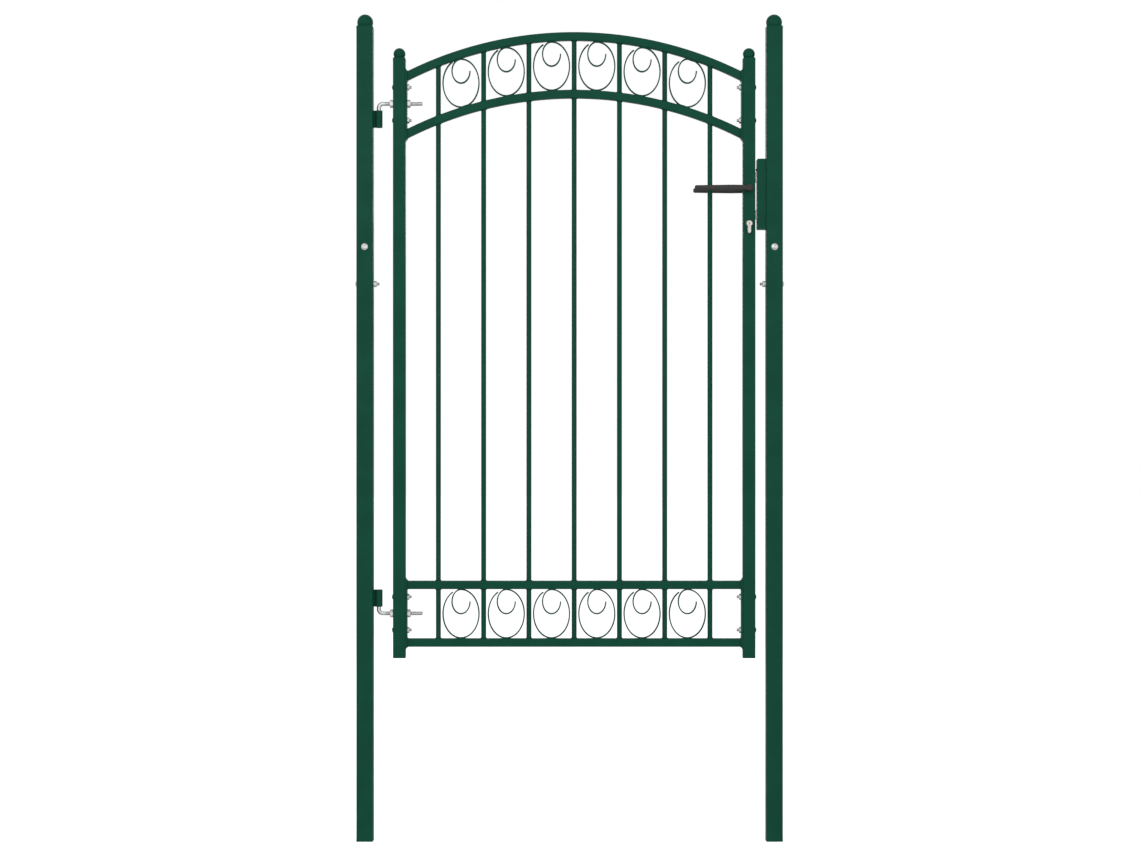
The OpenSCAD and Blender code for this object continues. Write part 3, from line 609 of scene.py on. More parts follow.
@dataclass
class Scrolls:
    """The twelve scrolls of rolled flat strip, six in each row.

    Each is an ellipse that starts beside its top, runs once round and turns into an ellipse of
    half its size, which runs on for three quarters of a turn.
    """

    strip_t: float = 3.0
    strip_depth: float = 12.0
    edge_r: float = 0.7
    start_deg: float = 117.3
    squeeze: float = 0.3
    count: int = 6
    tack_leg: float = 2.2
    tack_half: float = 8.0
    tack_inset: float = 0.2
    slope_reach: float = 10.0

    def centre_line(self, a: float, b: float) -> np.ndarray:
        """The strip's middle line as points x 2, about the outer ellipse's centre.

        The outer ellipse is (a cos t, b sin t) from the start angle to 450 degrees. The inner one
        is (a/2 cos t, b/2 + b/2 sin t) from 90 to 360 degrees.

        Args:
            a: half the ellipse's width.
            b: half its height.

        Returns:
            The points.
        """
        outer = np.radians(np.linspace(self.start_deg, 450, 190))
        inner = np.radians(np.linspace(90, 360, 90)[1:])
        return np.concatenate(
            [
                np.stack([a * np.cos(outer), b * np.sin(outer)], axis=1),
                np.stack([a / 2 * np.cos(inner), b / 2 + b / 2 * np.sin(inner)], axis=1),
            ]
        )

    def scroll(self, node: str, below: Arch | Level, above: Arch | Level) -> Surface:
        """One scroll, pressed flat where it meets the rails.

        A rounded rectangle, the strip's section, is carried along the middle line: point +
        across * normal + depth * Y. Heights are then held between the rails below and above.

        Args:
            node: the CAD node that gives the place and size.
            below: the rail under it.
            above: the rail over it.

        Returns:
            The surface.
        """
        box = box_mm(node)
        x_mid = box.mid[0]
        floor, ceiling = below.over(x_mid), above.under(x_mid)
        a = (box.size[0] - self.strip_t) / 2
        b = (ceiling - floor - self.strip_t) / 2 + self.squeeze
        line = self.centre_line(a, b)
        ahead = np.gradient(line, axis=0)
        ahead /= np.linalg.norm(ahead, axis=1, keepdims=True)
        normal = np.stack([ahead[:, 1], -ahead[:, 0]], axis=1)
        half = np.array([self.strip_t, self.strip_depth]) / 2
        section, _ = rounded_rectangle(half, self.edge_r, 3)
        flat = line[:, None, :] + section[None, :, :1] * normal[:, None, :]
        x = x_mid + flat[..., 0]
        z = np.clip((floor + ceiling) / 2 + flat[..., 1], below.over(x), above.under(x))
        y = np.broadcast_to(section[:, 1], x.shape)
        return Surface().add(np.stack([x, y, z], axis=-1))

    def add_tacks(self, welds: Surface, box: Box, rail: Arch | Level, up: int) -> None:
        """Adds the two short welds, front and back, where a strip touches a rail.

        An ellipse touches a sloping line to one side of its middle, by the slope times a*a/b.

        Args:
            welds: the surface to add to.
            box: the scroll's box.
            rail: the rail.
            up: 1 if the scroll is above the rail, -1 if below.
        """
        face, middle, reach = rail.over if up > 0 else rail.under, box.mid[0], self.slope_reach
        slope = (face(middle + reach) - face(middle - reach)) / (2 * reach)
        touch = middle + up * slope * box.size[0] ** 2 / box.size[2] / 2
        x = np.linspace(-self.tack_half, self.tack_half, 30)
        for side in (-1, 1):
            depth = side * (self.strip_depth / 2 - self.tack_inset)
            root = np.stack([touch + x, np.full_like(x, depth), face(touch) + slope * x], axis=1)
            welds.add(Bead(leg=self.tack_leg).grid(root, (0, side, 0), (0, 0, up), closed=False))

    def build(self, rails: Rails) -> None:
        """Makes both rows and their welds.

        Args:
            rails: the leaf's rails.
        """
        welds = Surface()
        rows = (("bottom_scroll", rails.bottom, rails.middle), ("top_scroll", rails.lower, rails.top))
        for stem, below, above in rows:
            for i in range(1, self.count + 1):
                node = f"{stem}_{i}"
                mesh = self.scroll(node, below, above).mesh(node, 35)
                add_piece(f"{node}_strip", mesh, POWDER_COAT, Body.LEAF, node)
                for rail, up in ((below, 1), (above, -1)):
                    self.add_tacks(welds, box_mm(node), rail, up)
        add_piece("scroll_welds", welds.mesh("scroll_welds", 35), WELD_COAT, Body.LEAF)


@dataclass
class LeafWelds:
    """Fillet welds where bars meet rails and rails meet end plates."""

    leg: float = 1.9
    bar_count: int = 7
    bar_points: int = 72
    rail_corner: float = 2.0
    side_steps: int = 10

    def round_bar(self, node: str, face: Callable[[np.ndarray], np.ndarray], up: float) -> np.ndarray:
        """The ring of weld round a bar on a rail's face.

        The root is the bar's circle, lifted to the face's height at each point.

        Args:
            node: the bar's CAD node.
            face: the function that gives the rail face's height at x.
            up: 1 if the bar stands on the face, -1 if it hangs from it.

        Returns:
            The bead's grid.
        """
        angle = angles(self.bar_points)
        out = np.stack([np.cos(angle), np.sin(angle), 0 * angle], axis=1)
        box = box_mm(node)
        root = box.size[0] / 2 * out
        root[:, 0] += box.mid[0]
        root[:, 2] = face(root[:, 0])
        return Bead(leg=self.leg).grid(root, out, (0, 0, up), closed=True)

    def rail_end(self, x: float, z0: float, z1: float, inward: float, side: float) -> np.ndarray:
        """The weld round a rail's end on its end plate.

        The root is a rectangle with quarter-round corners in the YZ plane. Each of its straight
        sides is cut into equal steps.

        Args:
            x: the end plate's face.
            z0: lowest height of the rail's end.
            z1: highest height of the rail's end.
            inward: 1 if the rail runs to +X from the plate, -1 if to -X.
            side: the rail's side.

        Returns:
            The bead's grid.
        """
        loop = np.hstack(rounded_rectangle(np.array([side, z1 - z0]) / 2, self.rail_corner, 6))
        loop = np.concatenate([loop, loop[:1]])
        known = np.arange(len(loop))
        straight = np.linalg.norm(np.diff(loop[:, :2], axis=0), axis=1) > self.rail_corner
        extra = np.flatnonzero(straight)[:, None] + np.arange(1, self.side_steps) / self.side_steps
        at = np.sort(np.concatenate([known[:-1], extra.ravel()]))
        y, z, out_y, out_z = (np.interp(at, known, column) for column in loop.T)
        root = np.stack([np.full_like(y, x), y, z + (z0 + z1) / 2], axis=1)
        out = np.stack([0 * y, out_y, out_z], axis=1)
        out /= np.linalg.norm(out, axis=1, keepdims=True)
        return Bead(leg=self.leg).grid(root, out, (inward, 0, 0), closed=True)

    def build(self, rails: Rails) -> None:
        """Makes the bars' welds rail by rail, then the rails' end welds.

        Args:
            rails: the leaf's rails.
        """
        faces = {
            "bottom_rail": ((rails.bottom.over, 1),),
            "middle_rail": ((rails.middle.under, -1), (rails.middle.over, 1)),
            "lower_arch": ((rails.lower.under, -1), (rails.lower.over, 1)),
            "top_arch": ((rails.top.under, -1),),
        }
        for name, sides in faces.items():
            welds = Surface()
            for i in range(1, self.bar_count + 1):
                for face, up in sides:
                    welds.add(self.round_bar(f"bar_{i}", face, up), closed=True)
            add_piece(f"bar_welds_{name}", welds.mesh(name, 35), WELD_COAT, Body.LEAF)
        ends = Surface()
        for rail in (rails.bottom, rails.middle, rails.lower, rails.top):
            box = box_mm(rail.node)
            for x, inward in ((box.low[0], 1), (box.high[0], -1)):
                weld = self.rail_end(x, rail.under(x), rail.over(x), inward, box.size[1])
                ends.add(weld, closed=True)
        add_piece("rail_end_welds", ends.mesh("rail_end_welds", 35), WELD_COAT, Body.LEAF)


# ---------------------------------------------------------------- bolts and nuts


@dataclass
class Fasteners:
    """Threaded bolts and chamfered nuts in place of the plain ones."""

    around: int = 36
    m10_pitch: float = 1.5
    m8_pitch: float = 1.25
    thread_share: float = 0.42
    rings_per_pitch: int = 6
    end_chamfer: float = 1.0
    rim_share: float = 0.18
    rim_round: float = 0.3
    crown_r: float = 0.4
    socket_apothem: float = 2.5
    socket_depth: float = 2.4
    socket_land_r: float = 3.9
    nut_around: int = 72
    nut_lip_w: float = 0.5
    nut_lip_h: float = 0.45
    nut_bevel_in: float = 0.1
    washer_edge: float = 0.25

    def shank(self, radius: float, plain: float, length: float, pitch: float) -> np.ndarray:
        """A straight shank along +Z: plain at first, then threaded, with a chamfered end.

        Args:
            radius: outer radius.
            plain: length with no thread.
            length: whole length.
            pitch: thread pitch.

        Returns:
            The grid.
        """
        count = int((length - plain) / pitch * self.rings_per_pitch)
        along = np.concatenate([[0.0], np.linspace(plain, length, count)])
        depth = thread_depth(along - plain, self.around, pitch, pitch * self.thread_share)
        fade = np.clip((along - plain) / pitch, 0, 1)
        taper = radius - np.clip(along - (length - self.end_chamfer), 0, None)
        return rings(np.minimum(radius - depth * fade[:, None], taper[:, None]), along)

    def dome(self, radius: float, height: float, shank_r: float) -> np.ndarray:
        """A plain domed head below the origin: a short rim, then a cap of a sphere.

        Args:
            radius: head radius.
            height: head height.
            shank_r: radius where the head meets its shank.

        Returns:
            The grid.
        """
        rim = self.rim_share * height
        rise = height - rim
        cap_r = (radius**2 + rise**2) / (2 * rise)
        r = np.linspace(radius - self.rim_round / 2, self.crown_r, 12)
        cap = rise - cap_r + np.sqrt(cap_r**2 - r**2)
        edge = self.rim_round
        side = [(shank_r * 0.9, 0.0), (radius - edge, 0.0), (radius, -edge), (radius, -rim)]
        return lathe(np.concatenate([side, np.stack([r, -rim - cap], axis=1)]), self.around * 2)

    def socket_dome(self, radius: float, height: float, shank_r: float) -> np.ndarray:
        """A domed head with a hexagonal socket in its crown.

        The rings run up the rim and over the cap, change from round to hexagonal at the
        socket's lip, and go down its walls to a conical floor.

        Args:
            radius: head radius.
            height: head height.
            shank_r: radius where the head meets its shank.

        Returns:
            The grid.
        """
        plain = self.dome(radius, height, shank_r)
        land = plain[np.hypot(plain[:, 0, 0], plain[:, 0, 1]) > self.socket_land_r]
        lip = hexagon_radius(angles(plain.shape[1]), self.socket_apothem)
        grow = np.array([1.12, 1.0, 1.0, 0.15])
        depth = np.array([0.28, 0.4, self.socket_depth, self.socket_depth + 0.7])
        return np.concatenate([land, rings(grow[:, None] * lip, depth - height)])

    def nut(self, across_corners: float, thickness: float, bore_r: float, start: float = 0.0) -> np.ndarray:
        """A hexagon nut along +Z whose corners are turned off at 30 degrees on both faces.

        At each height the radius is the lesser of the hexagon's and of a cone that grows by 1.73
        for each millimetre from the nearer face. The grid closes on itself through the bore.

        Args:
            across_corners: width over the corners.
            thickness: height of the nut.
            bore_r: radius of its bore.
            start: height of its first face.

        Returns:
            The grid, whose last ring joins its first.
        """
        apothem = across_corners / 2 * math.cos(math.pi / 6)
        hexagon = hexagon_radius(angles(self.nut_around), apothem)
        steep = math.tan(math.radians(60))
        near = np.linspace(0, (across_corners / 2 - apothem) / steep + 0.05, 6)
        heights = np.concatenate([near, (thickness - near)[::-1]])
        cone = apothem - self.nut_bevel_in + steep * np.minimum(heights, thickness - heights)
        bore = np.full((1, self.nut_around), bore_r)
        lip = bore + self.nut_lip_w
        radii = np.concatenate([bore, lip, np.minimum(hexagon, cone[:, None]), lip, bore])
        z = np.concatenate([[self.nut_lip_h, 0.0], heights, [thickness, thickness - self.nut_lip_h]])
        return rings(radii, start + z)

    def washer(self, radius: float, bore_r: float, z0: float, thickness: float) -> np.ndarray:
        """A washer along +Z with softened edges, closed through its bore.

        Args:
            radius: outer radius.
            bore_r: radius of its bore.
            z0: height of its first face.
            thickness: its thickness.

        Returns:
            The grid, whose last ring joins its first.
        """
        edge, z1 = self.washer_edge, z0 + thickness
        profile = [
            (bore_r, z0), (radius - edge, z0), (radius, z0 + edge), (radius, z1 - edge),
            (radius - edge, z1), (bore_r, z1),
        ]
        return lathe(profile, self.nut_around)


@dataclass
class JBolt:
    """A threaded rod bent to a right angle, whose short end is the hinge pin."""

    node: str
    pin_down: bool
    rod_r: float = 5.0
    bend_r: float = 10.0
    thread_length: float = 92.0
    pin_chamfer: float = 0.9
    end_chamfer: float = 1.2
    fasteners: Fasteners = field(default_factory=Fasteners)

    def build(self) -> None:
        """Makes the bolt: the pin, a quarter circle and the leg, with the thread on the leg.

        The middle line is straight up the pin, (R - R cos t, R sin t) round the bend and straight
        along the leg. A ring's radius is the rod's, less the thread's depth.
        """
        box = box_mm(self.node)
        axis_x, end_x = box.low[0] + self.rod_r, box.high[0]
        sign = 1.0 if self.pin_down else -1.0
        leg_z = box.high[2] - self.rod_r if self.pin_down else box.low[2] + self.rod_r
        pin_z = box.low[2] if self.pin_down else box.high[2]
        bend_z = leg_z - sign * self.bend_r
        pin = np.stack([[axis_x] * 3, [pin_z, pin_z + sign * self.pin_chamfer, bend_z]], axis=1)
        turn = np.radians(np.linspace(0, 90, 22))[1:]
        bend = np.stack(
            [axis_x + self.bend_r * (1 - np.cos(turn)), bend_z + sign * self.bend_r * np.sin(turn)], axis=1
        )
        pitch = self.fasteners.m10_pitch
        start = end_x - self.thread_length
        leg_x = np.linspace(start, end_x, int(self.thread_length / pitch * self.fasteners.rings_per_pitch))
        line = np.concatenate([pin, bend, np.stack([leg_x, np.full_like(leg_x, leg_z)], axis=1)])
        ahead = np.gradient(line, axis=0)
        ahead[:2] = [0.0, sign]
        ahead[-len(leg_x):] = [1.0, 0.0]
        ahead /= np.linalg.norm(ahead, axis=1, keepdims=True)
        none = np.zeros(len(line))
        path = np.stack([line[:, 0], none, line[:, 1]], axis=1)
        side = np.stack([-ahead[:, 1], none, ahead[:, 0]], axis=1)
        up = np.tile([0.0, 1.0, 0.0], (len(line), 1))
        along = np.concatenate([np.zeros(len(pin) + len(bend)), leg_x - start])
        fade = np.clip(along / (2 * pitch), 0, 1)[:, None]
        depth = thread_depth(along, self.fasteners.around, pitch, pitch * self.fasteners.thread_share)
        taper = self.rod_r - np.clip(along - (self.thread_length - self.end_chamfer), 0, None)
        radii = np.minimum(self.rod_r - depth * fade, taper[:, None])
        radii[0] -= self.pin_chamfer
        rod = Surface().add(swept_tube(path, side, up, radii))
        add_piece(f"{self.node}_rod", rod.mesh(self.node, 50), ZINC_PLATE, Body.LEAF, self.node)


@dataclass
class Hardware:
    """All bolts and nuts of the gate, placed by the boxes of their CAD nodes and neighbours."""

    bolt_r: float = 4.0
    nut_across: float = 15.0
    bore_clear: float = 0.05
    post_thread_out: float = 14.5
    post_thread_in: float = 6.0
    post_head_r: float = 8.25
    post_head_h: float = 4.1
    post_nut_t: float = 6.5
    washer_r: float = 8.0
    washer_t: float = 1.6
    washer_clear: float = 0.3
    leaf_thread_out: float = 10.5
    leaf_thread_in: float = 8.0
    leaf_head_r: float = 7.0
    leaf_head_h: float = 3.2
    leaf_nut_t: float = 5.0
    hinge_rod_r: float = 5.0
    hinge_nut_across: float = 19.6
    hinge_nut_t: float = 8.0
    nut_sharp_deg: float = 20.0
    fasteners: Fasteners = field(default_factory=Fasteners)

    def leg_heights(self) -> tuple[float, float]:
        """Heights of the upper and the lower J-bolt's leg."""
        upper, lower = box_mm("upper_hinge_bolt"), box_mm("lower_hinge_bolt")
        return upper.high[2] - self.hinge_rod_r, lower.low[2] + self.hinge_rod_r

    def post_places(self) -> list[tuple[Point, Run]]:
        """Where each post bolt starts and runs: one from the front, one from the outer side.

        Returns:
            Origin and direction of the four bolts.
        """
        nuts = box_mm("post_nuts")
        front_z, side_z = nuts.high[2] - self.washer_r, nuts.low[2] + self.washer_r
        left, right = box_mm("hinge_post_upper"), box_mm("latch_post_upper")
        return [
            ((left.mid[0], left.low[1], front_z), Run.BACK),
            ((right.mid[0], right.low[1], front_z), Run.BACK),
            ((left.low[0], 0.0, side_z), Run.RIGHT),
            ((right.high[0], 0.0, side_z), Run.LEFT),
        ]

    def leaf_places(self) -> list[tuple[Point, Run]]:
        """Where each leaf bolt starts and runs, a pair of heights about each J-bolt's.

        Returns:
            Origin and direction of the eight bolts.
        """
        left, right = box_mm("hinge_upright").low[0], box_mm("latch_upright").high[0]
        bolts = box_mm("leaf_bolts")
        upper, lower = self.leg_heights()
        top, foot = bolts.high[2] - self.leaf_head_r, bolts.low[2] + self.leaf_head_r
        heights = (top, 2 * upper - top, 2 * lower - foot, foot)
        sides = ((left, Run.RIGHT), (right, Run.LEFT))
        return [((x, 0.0, z), run) for z in heights for x, run in sides]

    def build_posts(self) -> None:
        """Makes the four bolts through the posts, with a nut and washer each."""
        f = self.fasteners
        side = box_mm("hinge_post_upper").size[0]
        head = f.socket_dome(self.post_head_r, self.post_head_h, self.bolt_r)
        shank = f.shank(self.bolt_r, side - self.post_thread_in, side + self.post_thread_out, f.m8_pitch)
        washer = f.washer(self.washer_r, self.bolt_r + self.washer_clear, side, self.washer_t)
        nut = f.nut(self.nut_across, self.post_nut_t, self.bolt_r + self.bore_clear, side + self.washer_t)
        bolts, nuts = Surface(), Surface()
        for origin, run in self.post_places():
            bolts.add(place(head, origin, run)).add(place(shank, origin, run))
            nuts.add(place(washer, origin, run), closed=True).add(place(nut, origin, run), closed=True)
        add_piece("post_bolts_threaded", bolts.mesh("post_bolts", 35), ZINC_PLATE, Body.POSTS, "post_bolts")
        mesh = nuts.mesh("post_nuts", self.nut_sharp_deg)
        add_piece("post_nuts_chamfered", mesh, ZINC_PLATE, Body.POSTS, "post_nuts")

    def build_leaf(self) -> None:
        """Makes the eight leaf bolts, whose heads are coated and whose shanks aren't."""
        f = self.fasteners
        grip = box_mm("leaf_nuts").low[0] - box_mm("hinge_upright").low[0]
        head = f.dome(self.leaf_head_r, self.leaf_head_h, self.bolt_r)
        shank = f.shank(self.bolt_r, grip - self.leaf_thread_in, grip + self.leaf_thread_out, f.m8_pitch)
        nut = f.nut(self.nut_across, self.leaf_nut_t, self.bolt_r + self.bore_clear, grip)
        heads, shanks, nuts = Surface(), Surface(), Surface()
        for origin, run in self.leaf_places():
            heads.add(place(head, origin, run))
            shanks.add(place(shank, origin, run))
            nuts.add(place(nut, origin, run), closed=True)
        add_piece("leaf_bolt_heads", heads.mesh("leaf_bolts", 35), POWDER_COAT, Body.LEAF, "leaf_bolts")
        add_piece("leaf_bolt_shanks", shanks.mesh("leaf_shanks", 35), ZINC_PLATE, Body.LEAF)
        mesh = nuts.mesh("leaf_nuts", self.nut_sharp_deg)
        add_piece("leaf_nuts_chamfered", mesh, ZINC_PLATE, Body.LEAF, "leaf_nuts")

    def build_hinges(self) -> None:
        """Makes the two nuts on each J-bolt's leg, one each side of the upright."""
        nuts, box = Surface(), box_mm("hinge_nuts")
        nut = self.fasteners.nut(self.hinge_nut_across, self.hinge_nut_t, self.hinge_rod_r + self.bore_clear)
        for z in self.leg_heights():
            for x in (box.low[0], box.high[0] - self.hinge_nut_t):
                nuts.add(place(nut, (x, 0.0, z), Run.RIGHT), closed=True)
        mesh = nuts.mesh("hinge_nuts", self.nut_sharp_deg)
        add_piece("hinge_nuts_chamfered", mesh, ZINC_PLATE, Body.LEAF, "hinge_nuts")

    def build(self) -> None:
        """Makes the post bolts, the leaf bolts and all nuts."""
        self.build_posts()
        self.build_leaf()
        self.build_hinges()


# ---------------------------------------------------------------- levers


@dataclass
class Lever:
    """A cast lever: a turned hub that flows into a soft-edged grip."""

    node: str
    front: bool
    hub_r: float = 8.5
    neck_r: float = 7.0
    hub_back: float = 15.5
    reach: float = 44.0
    grip_t: float = 10.0
    length: float = 133.0
    root_h: float = 12.0
    tip_h: float = 11.0
    belly_h: float = 13.6
    belly_at: float = 0.3
    root_share: float = 0.045
    tip_share: float = 0.03
    tip_power: float = 2.4
    section_power: float = 3.6
    around: int = 48
    voxel: float = 0.6

    def grip(self) -> np.ndarray:
        """The grip: a superellipse section carried along -X.

        The half height rises from the hub to the belly and falls to the tip. At both ends the
        section shrinks as a quarter superellipse, so that it closes.

        Returns:
            The grid, about the lever's axis, with Y to the back.
        """
        tip_start = 1 - self.tip_share
        s = np.concatenate([np.linspace(-self.root_share, 0.0, 8), np.linspace(0.01, tip_start, 60),
                            np.linspace(tip_start + 0.002, 1.0, 14)])
        half_h = np.interp(s, [0.0, self.belly_at, 1.0],
                           [self.root_h / 2, self.belly_h / 2, self.tip_h / 2])
        near_tip = np.clip((s - tip_start) / self.tip_share, 0, 1)
        near_hub = np.clip(-s / self.root_share, 0, 1)
        shrink = (1 - near_tip**self.tip_power) ** (1 / self.tip_power) * np.sqrt(1 - near_hub**2)
        shrink = np.maximum(shrink, 0.03)[:, None]
        circle = np.stack([np.cos(angles(self.around)), np.sin(angles(self.around))])
        across, up = np.sign(circle) * np.abs(circle) ** (2 / self.section_power)
        x = np.broadcast_to(-s[:, None] * self.length, (len(s), self.around))
        y = self.grip_t / 2 * (1 + across * (0.55 + 0.45 * shrink)) - self.reach
        return np.stack([x, y, half_h[:, None] * shrink * up], axis=-1)

    def hub(self) -> np.ndarray:
        """The hub: a collar at the leaf, a slimmer neck and a rounded front.

        Returns:
            The grid, about the lever's axis.
        """
        out, back, r = self.reach - 0.15, self.hub_back, self.hub_r
        profile = [
            (0.4, back), (r - 0.3, back), (r, back + 0.4), (r, back + 3.0), (r - 0.5, back + 3.6),
            (self.neck_r, back + 5.5), (self.neck_r, out - 10.5), (r - 0.4, out - 8.5),
            (r, out - 6.5), (r, out - 2.0), (r - 0.6, out - 0.7), (r - 2.2, out), (0.4, out),
        ]
        return place(lathe(profile, 64), (0.0, 0.0, 0.0), Run.FRONT)

    def build(self) -> None:
        """Joins grip and hub into one skin by a voxel remesh, smooths it and puts it in place."""
        axis = np.array([box_mm("latch_upright").mid[0], 0.0, box_mm(self.node).mid[2]])
        facing = np.array([1.0, 1.0 if self.front else -1.0, 1.0])
        surface = Surface().add((self.grip() + axis) * facing).add((self.hub() + axis) * facing)
        raw = add_object("lever_blank", surface.mesh("lever_blank", 180))
        remesh = raw.modifiers.new("skin", "REMESH")
        remesh.mode = "VOXEL"
        remesh.voxel_size = self.voxel * MM
        remesh.use_smooth_shade = True
        relax = raw.modifiers.new("relax", "SMOOTH")
        relax.factor = 0.5
        relax.iterations = 6
        bpy.context.view_layer.update()
        graph = bpy.context.evaluated_depsgraph_get()
        mesh = bpy.data.meshes.new_from_object(raw.evaluated_get(graph))
        bpy.data.objects.remove(raw)
        add_piece(f"{self.node}_casting", mesh, BLACK_COAT, Body.HANDLE, self.node)


# ---------------------------------------------------------------- post details


@dataclass
class PostWelds:
    """Fillet welds that hold the hinge lugs and barrels and the strike box."""

    leg: float = 2.0
    lug_inset: float = 1.0
    stitch: float = 22.0
    stitch_inset: float = 6.0
    points_per_mm: float = 2.5

    def upright_bead(self, at: tuple[float, float], z0: float, z1: float, u: Point, v: Point) -> np.ndarray:
        """A straight bead up a corner.

        Args:
            at: the corner's X and Y.
            z0: lowest point.
            z1: highest point.
            u: direction of the first face.
            v: direction of the second face.

        Returns:
            The bead's grid.
        """
        z = np.linspace(z0, z1, max(12, int((z1 - z0) * self.points_per_mm)))
        root = np.stack([np.full_like(z, at[0]), np.full_like(z, at[1]), z], axis=1)
        return Bead(leg=self.leg).grid(root, u, v, closed=False)

    def build(self) -> None:
        """Makes the lugs' welds and the strike box's stitch welds."""
        welds, lugs = Surface(), box_mm("hinge_lugs")
        for node in ("upper_hinge_barrel", "lower_hinge_barrel"):
            z0, z1 = box_mm(node).low[2] + self.lug_inset, box_mm(node).high[2] - self.lug_inset
            for side in (-1, 1):
                at = (lugs.low[0], side * lugs.high[1])
                welds.add(self.upright_bead(at, z0, z1, (0, side, 0), (1, 0, 0)))
        add_piece("hinge_lug_welds", welds.mesh("lug_welds", 35), WELD_COAT, Body.POSTS)
        welds, box = Surface(), box_mm("strike_box")
        first, last = box.low[2] + self.stitch_inset, box.high[2] - self.stitch_inset - self.stitch
        for side, y in ((-1, box.low[1]), (1, box.high[1])):
            for z in (first, (first + last) / 2, last):
                at = (box.high[0], y)
                welds.add(self.upright_bead(at, z, z + self.stitch, (0, side, 0), (-1, 0, 0)))
        add_piece("strike_box_welds", welds.mesh("strike_welds", 35), WELD_COAT, Body.POSTS)


@dataclass
class Buffer:
    """The rubber buffer that the leaf closes against: a mushroom pushed into the strike box."""

    head_r: float = 3.4
    gap: float = 0.5
    stem_depth: float = 3.0
    brim_h: float = 0.8
    brim_round: float = 0.3
    seat: float = 0.05
    around: int = 48

    def build(self) -> None:
        """Makes the buffer along -X: a stem, a flat underside and a head like half an ellipse."""
        box = box_mm("strike_buffer")
        strike = box_mm("strike_box").low[0]
        stem_r = box.size[1] / 2
        out = strike - box_mm("latch_upright").high[0] - self.gap
        t = np.radians(np.linspace(0, 86, 12))
        dome = np.stack([self.head_r * np.cos(t), self.brim_h + (out - self.brim_h) * np.sin(t)], axis=1)
        stem = [(0.4, -self.stem_depth), (stem_r, -self.stem_depth), (stem_r, self.seat),
                (self.head_r - self.brim_round, self.seat)]
        grid = lathe(np.concatenate([stem, dome]), self.around)
        surface = Surface().add(place(grid, (strike, box.mid[1], box.mid[2]), Run.LEFT))
        mesh = surface.mesh("strike_buffer", 50)
        add_piece("strike_buffer_mushroom", mesh, RUBBER, Body.POSTS, "strike_buffer")


# ---------------------------------------------------------------- key cylinder


@dataclass
class KeyCylinder:
    """The body of the key cylinder: two bored ends with turned-off edges, and the bridge between.

    The middle is milled away down to the bridge, so that the cam can turn there.
    """

    round_r: float = 8.5
    stem_w: float = 10.0
    stem_drop: float = 24.5
    bore_r: float = 6.58
    slot_half: float = 5.0
    edge_in: float = 1.7
    edge_back: float = 2.6
    bridge_h: float = 5.0
    edge_lip: float = 0.25
    bore_lip: float = 0.15
    around: int = 144

    def turn(self) -> np.ndarray:
        """Angles from straight down, -pi to pi, closer together near the bottom of the stem."""
        t = np.linspace(-1, 1, self.around, endpoint=False)
        return math.pi * np.sign(t) * np.abs(t) ** 1.6

    def outline(self, shrink: float) -> np.ndarray:
        """Distance from the plug's axis to the outline at each angle.

        It is the greater of the round part's radius and of the stem's distance. The stem's is
        half its width over the sine of the angle, until that runs past the middle of its round
        foot; then it is c cos a + sqrt(r^2 - (c sin a)^2), with c the depth of that middle.

        Args:
            shrink: how far the outline is drawn in.

        Returns:
            The distance at each angle.
        """
        a = np.abs(self.turn())
        half = self.stem_w / 2 - shrink
        c = self.stem_drop - self.stem_w / 2
        wall = half / np.maximum(np.sin(a), 1e-6)
        foot = c * np.cos(a) + np.sqrt(np.clip(half**2 - (c * np.sin(a)) ** 2, 0, None))
        stem = np.where(wall * np.cos(a) <= c, wall, foot)
        stem = np.where(a < math.pi / 2, stem, 0.0)
        return np.maximum(self.round_r - shrink, stem)

    def end(self, centre: np.ndarray, half_length: float, side: float) -> np.ndarray:
        """One end of the body, from the milled slot out to its face.

        Rings run out along the outline, in over the turned-off edge, across the face and back
        along the bore, and the grid closes on itself.

        Args:
            centre: the plug axis at the middle of the body.
            half_length: half the body's length.
            side: -1 for the front end, 1 for the rear.

        Returns:
            The grid, whose last ring joins its first.
        """
        bore = np.full(self.around, self.bore_r)
        loops = (
            (self.outline(0.0), self.slot_half),
            (self.outline(0.0), half_length - self.edge_back),
            (self.outline(self.edge_in * 0.9), half_length - self.edge_lip),
            (self.outline(self.edge_in), half_length),
            (bore + self.bore_lip, half_length),
            (bore, half_length - self.bore_lip),
            (bore, self.slot_half),
        )
        angle = self.turn()
        grid = [
            np.stack([r * np.sin(angle), np.full_like(r, side * y), -r * np.cos(angle)], axis=-1)
            for r, y in loops
        ]
        return np.stack(grid) + centre

    def build(self) -> None:
        """Makes both ends and the bridge, a bar along Y with the stem's round foot."""
        box = box_mm("cylinder_body")
        centre = np.array([box.mid[0], 0.0, box.high[2] - self.round_r])
        surface = Surface()
        for side in (-1.0, 1.0):
            surface.add(self.end(centre, box.high[1], side), closed=True)
        r = self.stem_w / 2
        t = np.radians(np.linspace(0, 180, 25))
        foot = np.stack([r * np.cos(t), r - self.stem_drop - r * np.sin(t)], axis=1)
        top = self.bridge_h - self.stem_drop
        ring = np.concatenate([[[r, top]], foot[foot[:, 1] < top - 0.01], [[-r, top]]])
        depth = np.array([[-self.slot_half], [self.slot_half]])
        x, y, z = np.broadcast_arrays(ring[:, 0], depth, ring[:, 1])
        surface.add(np.stack([x, y, z], axis=-1) + centre)
        mesh = surface.mesh("cylinder_body", 24)
        add_piece("cylinder_body_turned", mesh, NICKEL_PLATE, Body.LEAF, "cylinder_body")


# ---------------------------------------------------------------- studio


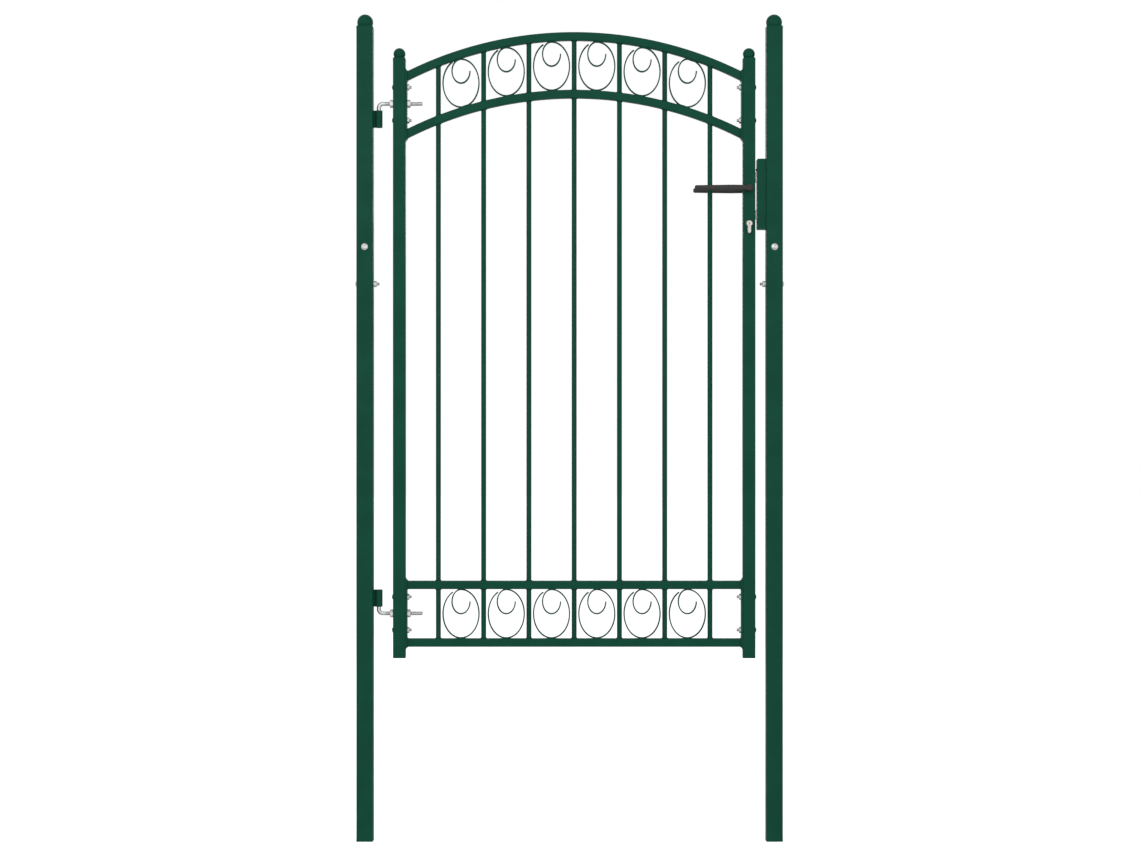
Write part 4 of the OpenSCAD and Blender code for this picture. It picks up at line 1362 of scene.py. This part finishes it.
@dataclass(frozen=True)
class Softbox:
    """A square soft light that looks at the gate's middle, in metres and watts."""

    name: str
    at: Point
    side: float
    power: float
    aim_z: float = 1.1

    def build(self) -> None:
        """Adds the light and turns it to the gate."""
        data = bpy.data.lights.new(self.name, "AREA")
        data.shape = "SQUARE"
        data.size = self.side
        data.energy = self.power
        obj = add_object(self.name, data)
        obj.location = self.at
        aim = Vector((0.0, 0.0, self.aim_z)) - Vector(self.at)
        obj.rotation_euler = aim.to_track_quat("-Z", "Y").to_euler()


SOFTBOXES = (
    Softbox("key_softbox", (-2.6, -4.6, 3.4), 6.0, 158.0),
    Softbox("fill_softbox", (3.2, -4.4, 1.6), 5.0, 86.0),
    Softbox("back_softbox", (0.5, 4.5, 3.2), 3.0, 60.0),
)


@dataclass
class Studio:
    """Pale floor, soft light and the camera."""

    camera_at: Point = (0.0009, -6.020, 1.000)
    lens_mm: float = 78.5
    sensor_mm: float = 36.0
    floor_half: float = 30.0
    backdrop: float = 1.0
    surround: float = 0.7
    floor_return: float = 0.8

    def floor(self) -> None:
        """A flat, pale floor under the posts' feet.

        It glows as brightly as the surround, so that the two meet with no line, and it is kept
        out of the gate's own light, so that the glow doesn't reach the gate from below.
        """
        h = self.floor_half
        mesh = bpy.data.meshes.new("floor")
        mesh.from_pydata([(-h, -h, 0), (h, -h, 0), (h, h, 0), (-h, h, 0)], [], [(0, 1, 2, 3)])
        obj = add_object("floor", mesh)
        material = bpy.data.materials.new("white_studio_floor")
        material.use_nodes = True
        shader = material.node_tree.nodes["Principled BSDF"]
        shader.inputs["Base Color"].default_value = linear("#f4f4f4")
        shader.inputs["Roughness"].default_value = 0.9
        shader.inputs["Specular IOR Level"].default_value = 0.1
        shader.inputs["Emission Color"].default_value = linear("#ffffff")
        shader.inputs["Emission Strength"].default_value = self.backdrop - self.floor_return * self.surround
        mesh.materials.append(material)
        obj.visible_diffuse = False
        obj.visible_glossy = False

    def world(self) -> None:
        """A plain white surround: bright to look at, and softer as light on the gate."""
        world = bpy.data.worlds.new("white_surround")
        world.use_nodes = True
        tree = world.node_tree
        tree.nodes.clear()
        seen = add_node(tree, "ShaderNodeLightPath").outputs["Is Camera Ray"]
        level = add_node(
            tree, "ShaderNodeMapRange", {"Value": seen, "To Min": self.surround, "To Max": self.backdrop}
        ).outputs["Result"]
        background = add_node(tree, "ShaderNodeBackground", {"Color": linear("#ffffff"), "Strength": level})
        add_node(tree, "ShaderNodeOutputWorld", {"Surface": background.outputs["Background"]})
        bpy.context.scene.world = world

    def camera(self) -> None:
        """A level camera in front of the gate, half a gate high."""
        data = bpy.data.cameras.new("camera")
        data.lens = self.lens_mm
        data.sensor_width = self.sensor_mm
        data.clip_end = 100.0
        obj = add_object("camera", data)
        obj.location = self.camera_at
        obj.rotation_euler = (math.pi / 2, 0.0, 0.0)
        bpy.context.scene.camera = obj

    def build(self) -> None:
        """Sets up the whole studio."""
        bpy.context.scene.view_settings.view_transform = "Standard"
        self.floor()
        self.world()
        for softbox in SOFTBOXES:
            softbox.build()
        self.camera()


def main() -> None:
    """Dresses the CAD nodes, builds every piece in order and sets up the studio."""
    logging.basicConfig(level=logging.INFO, format="%(name)s %(message)s")
    dress_cad_nodes()
    rails = Rails(Level("bottom_rail"), Level("middle_rail"), Arch("lower_arch_rail"), Arch("top_arch_rail"))
    Scrolls().build(rails)
    LeafWelds().build(rails)
    JBolt("upper_hinge_bolt", pin_down=True).build()
    JBolt("lower_hinge_bolt", pin_down=False).build()
    Hardware().build()
    Lever("front_lever", front=True).build()
    Lever("rear_lever", front=False).build()
    PostWelds().build()
    Buffer().build()
    KeyCylinder().build()
    Studio().build()


if __name__ == "__main__":
    main()
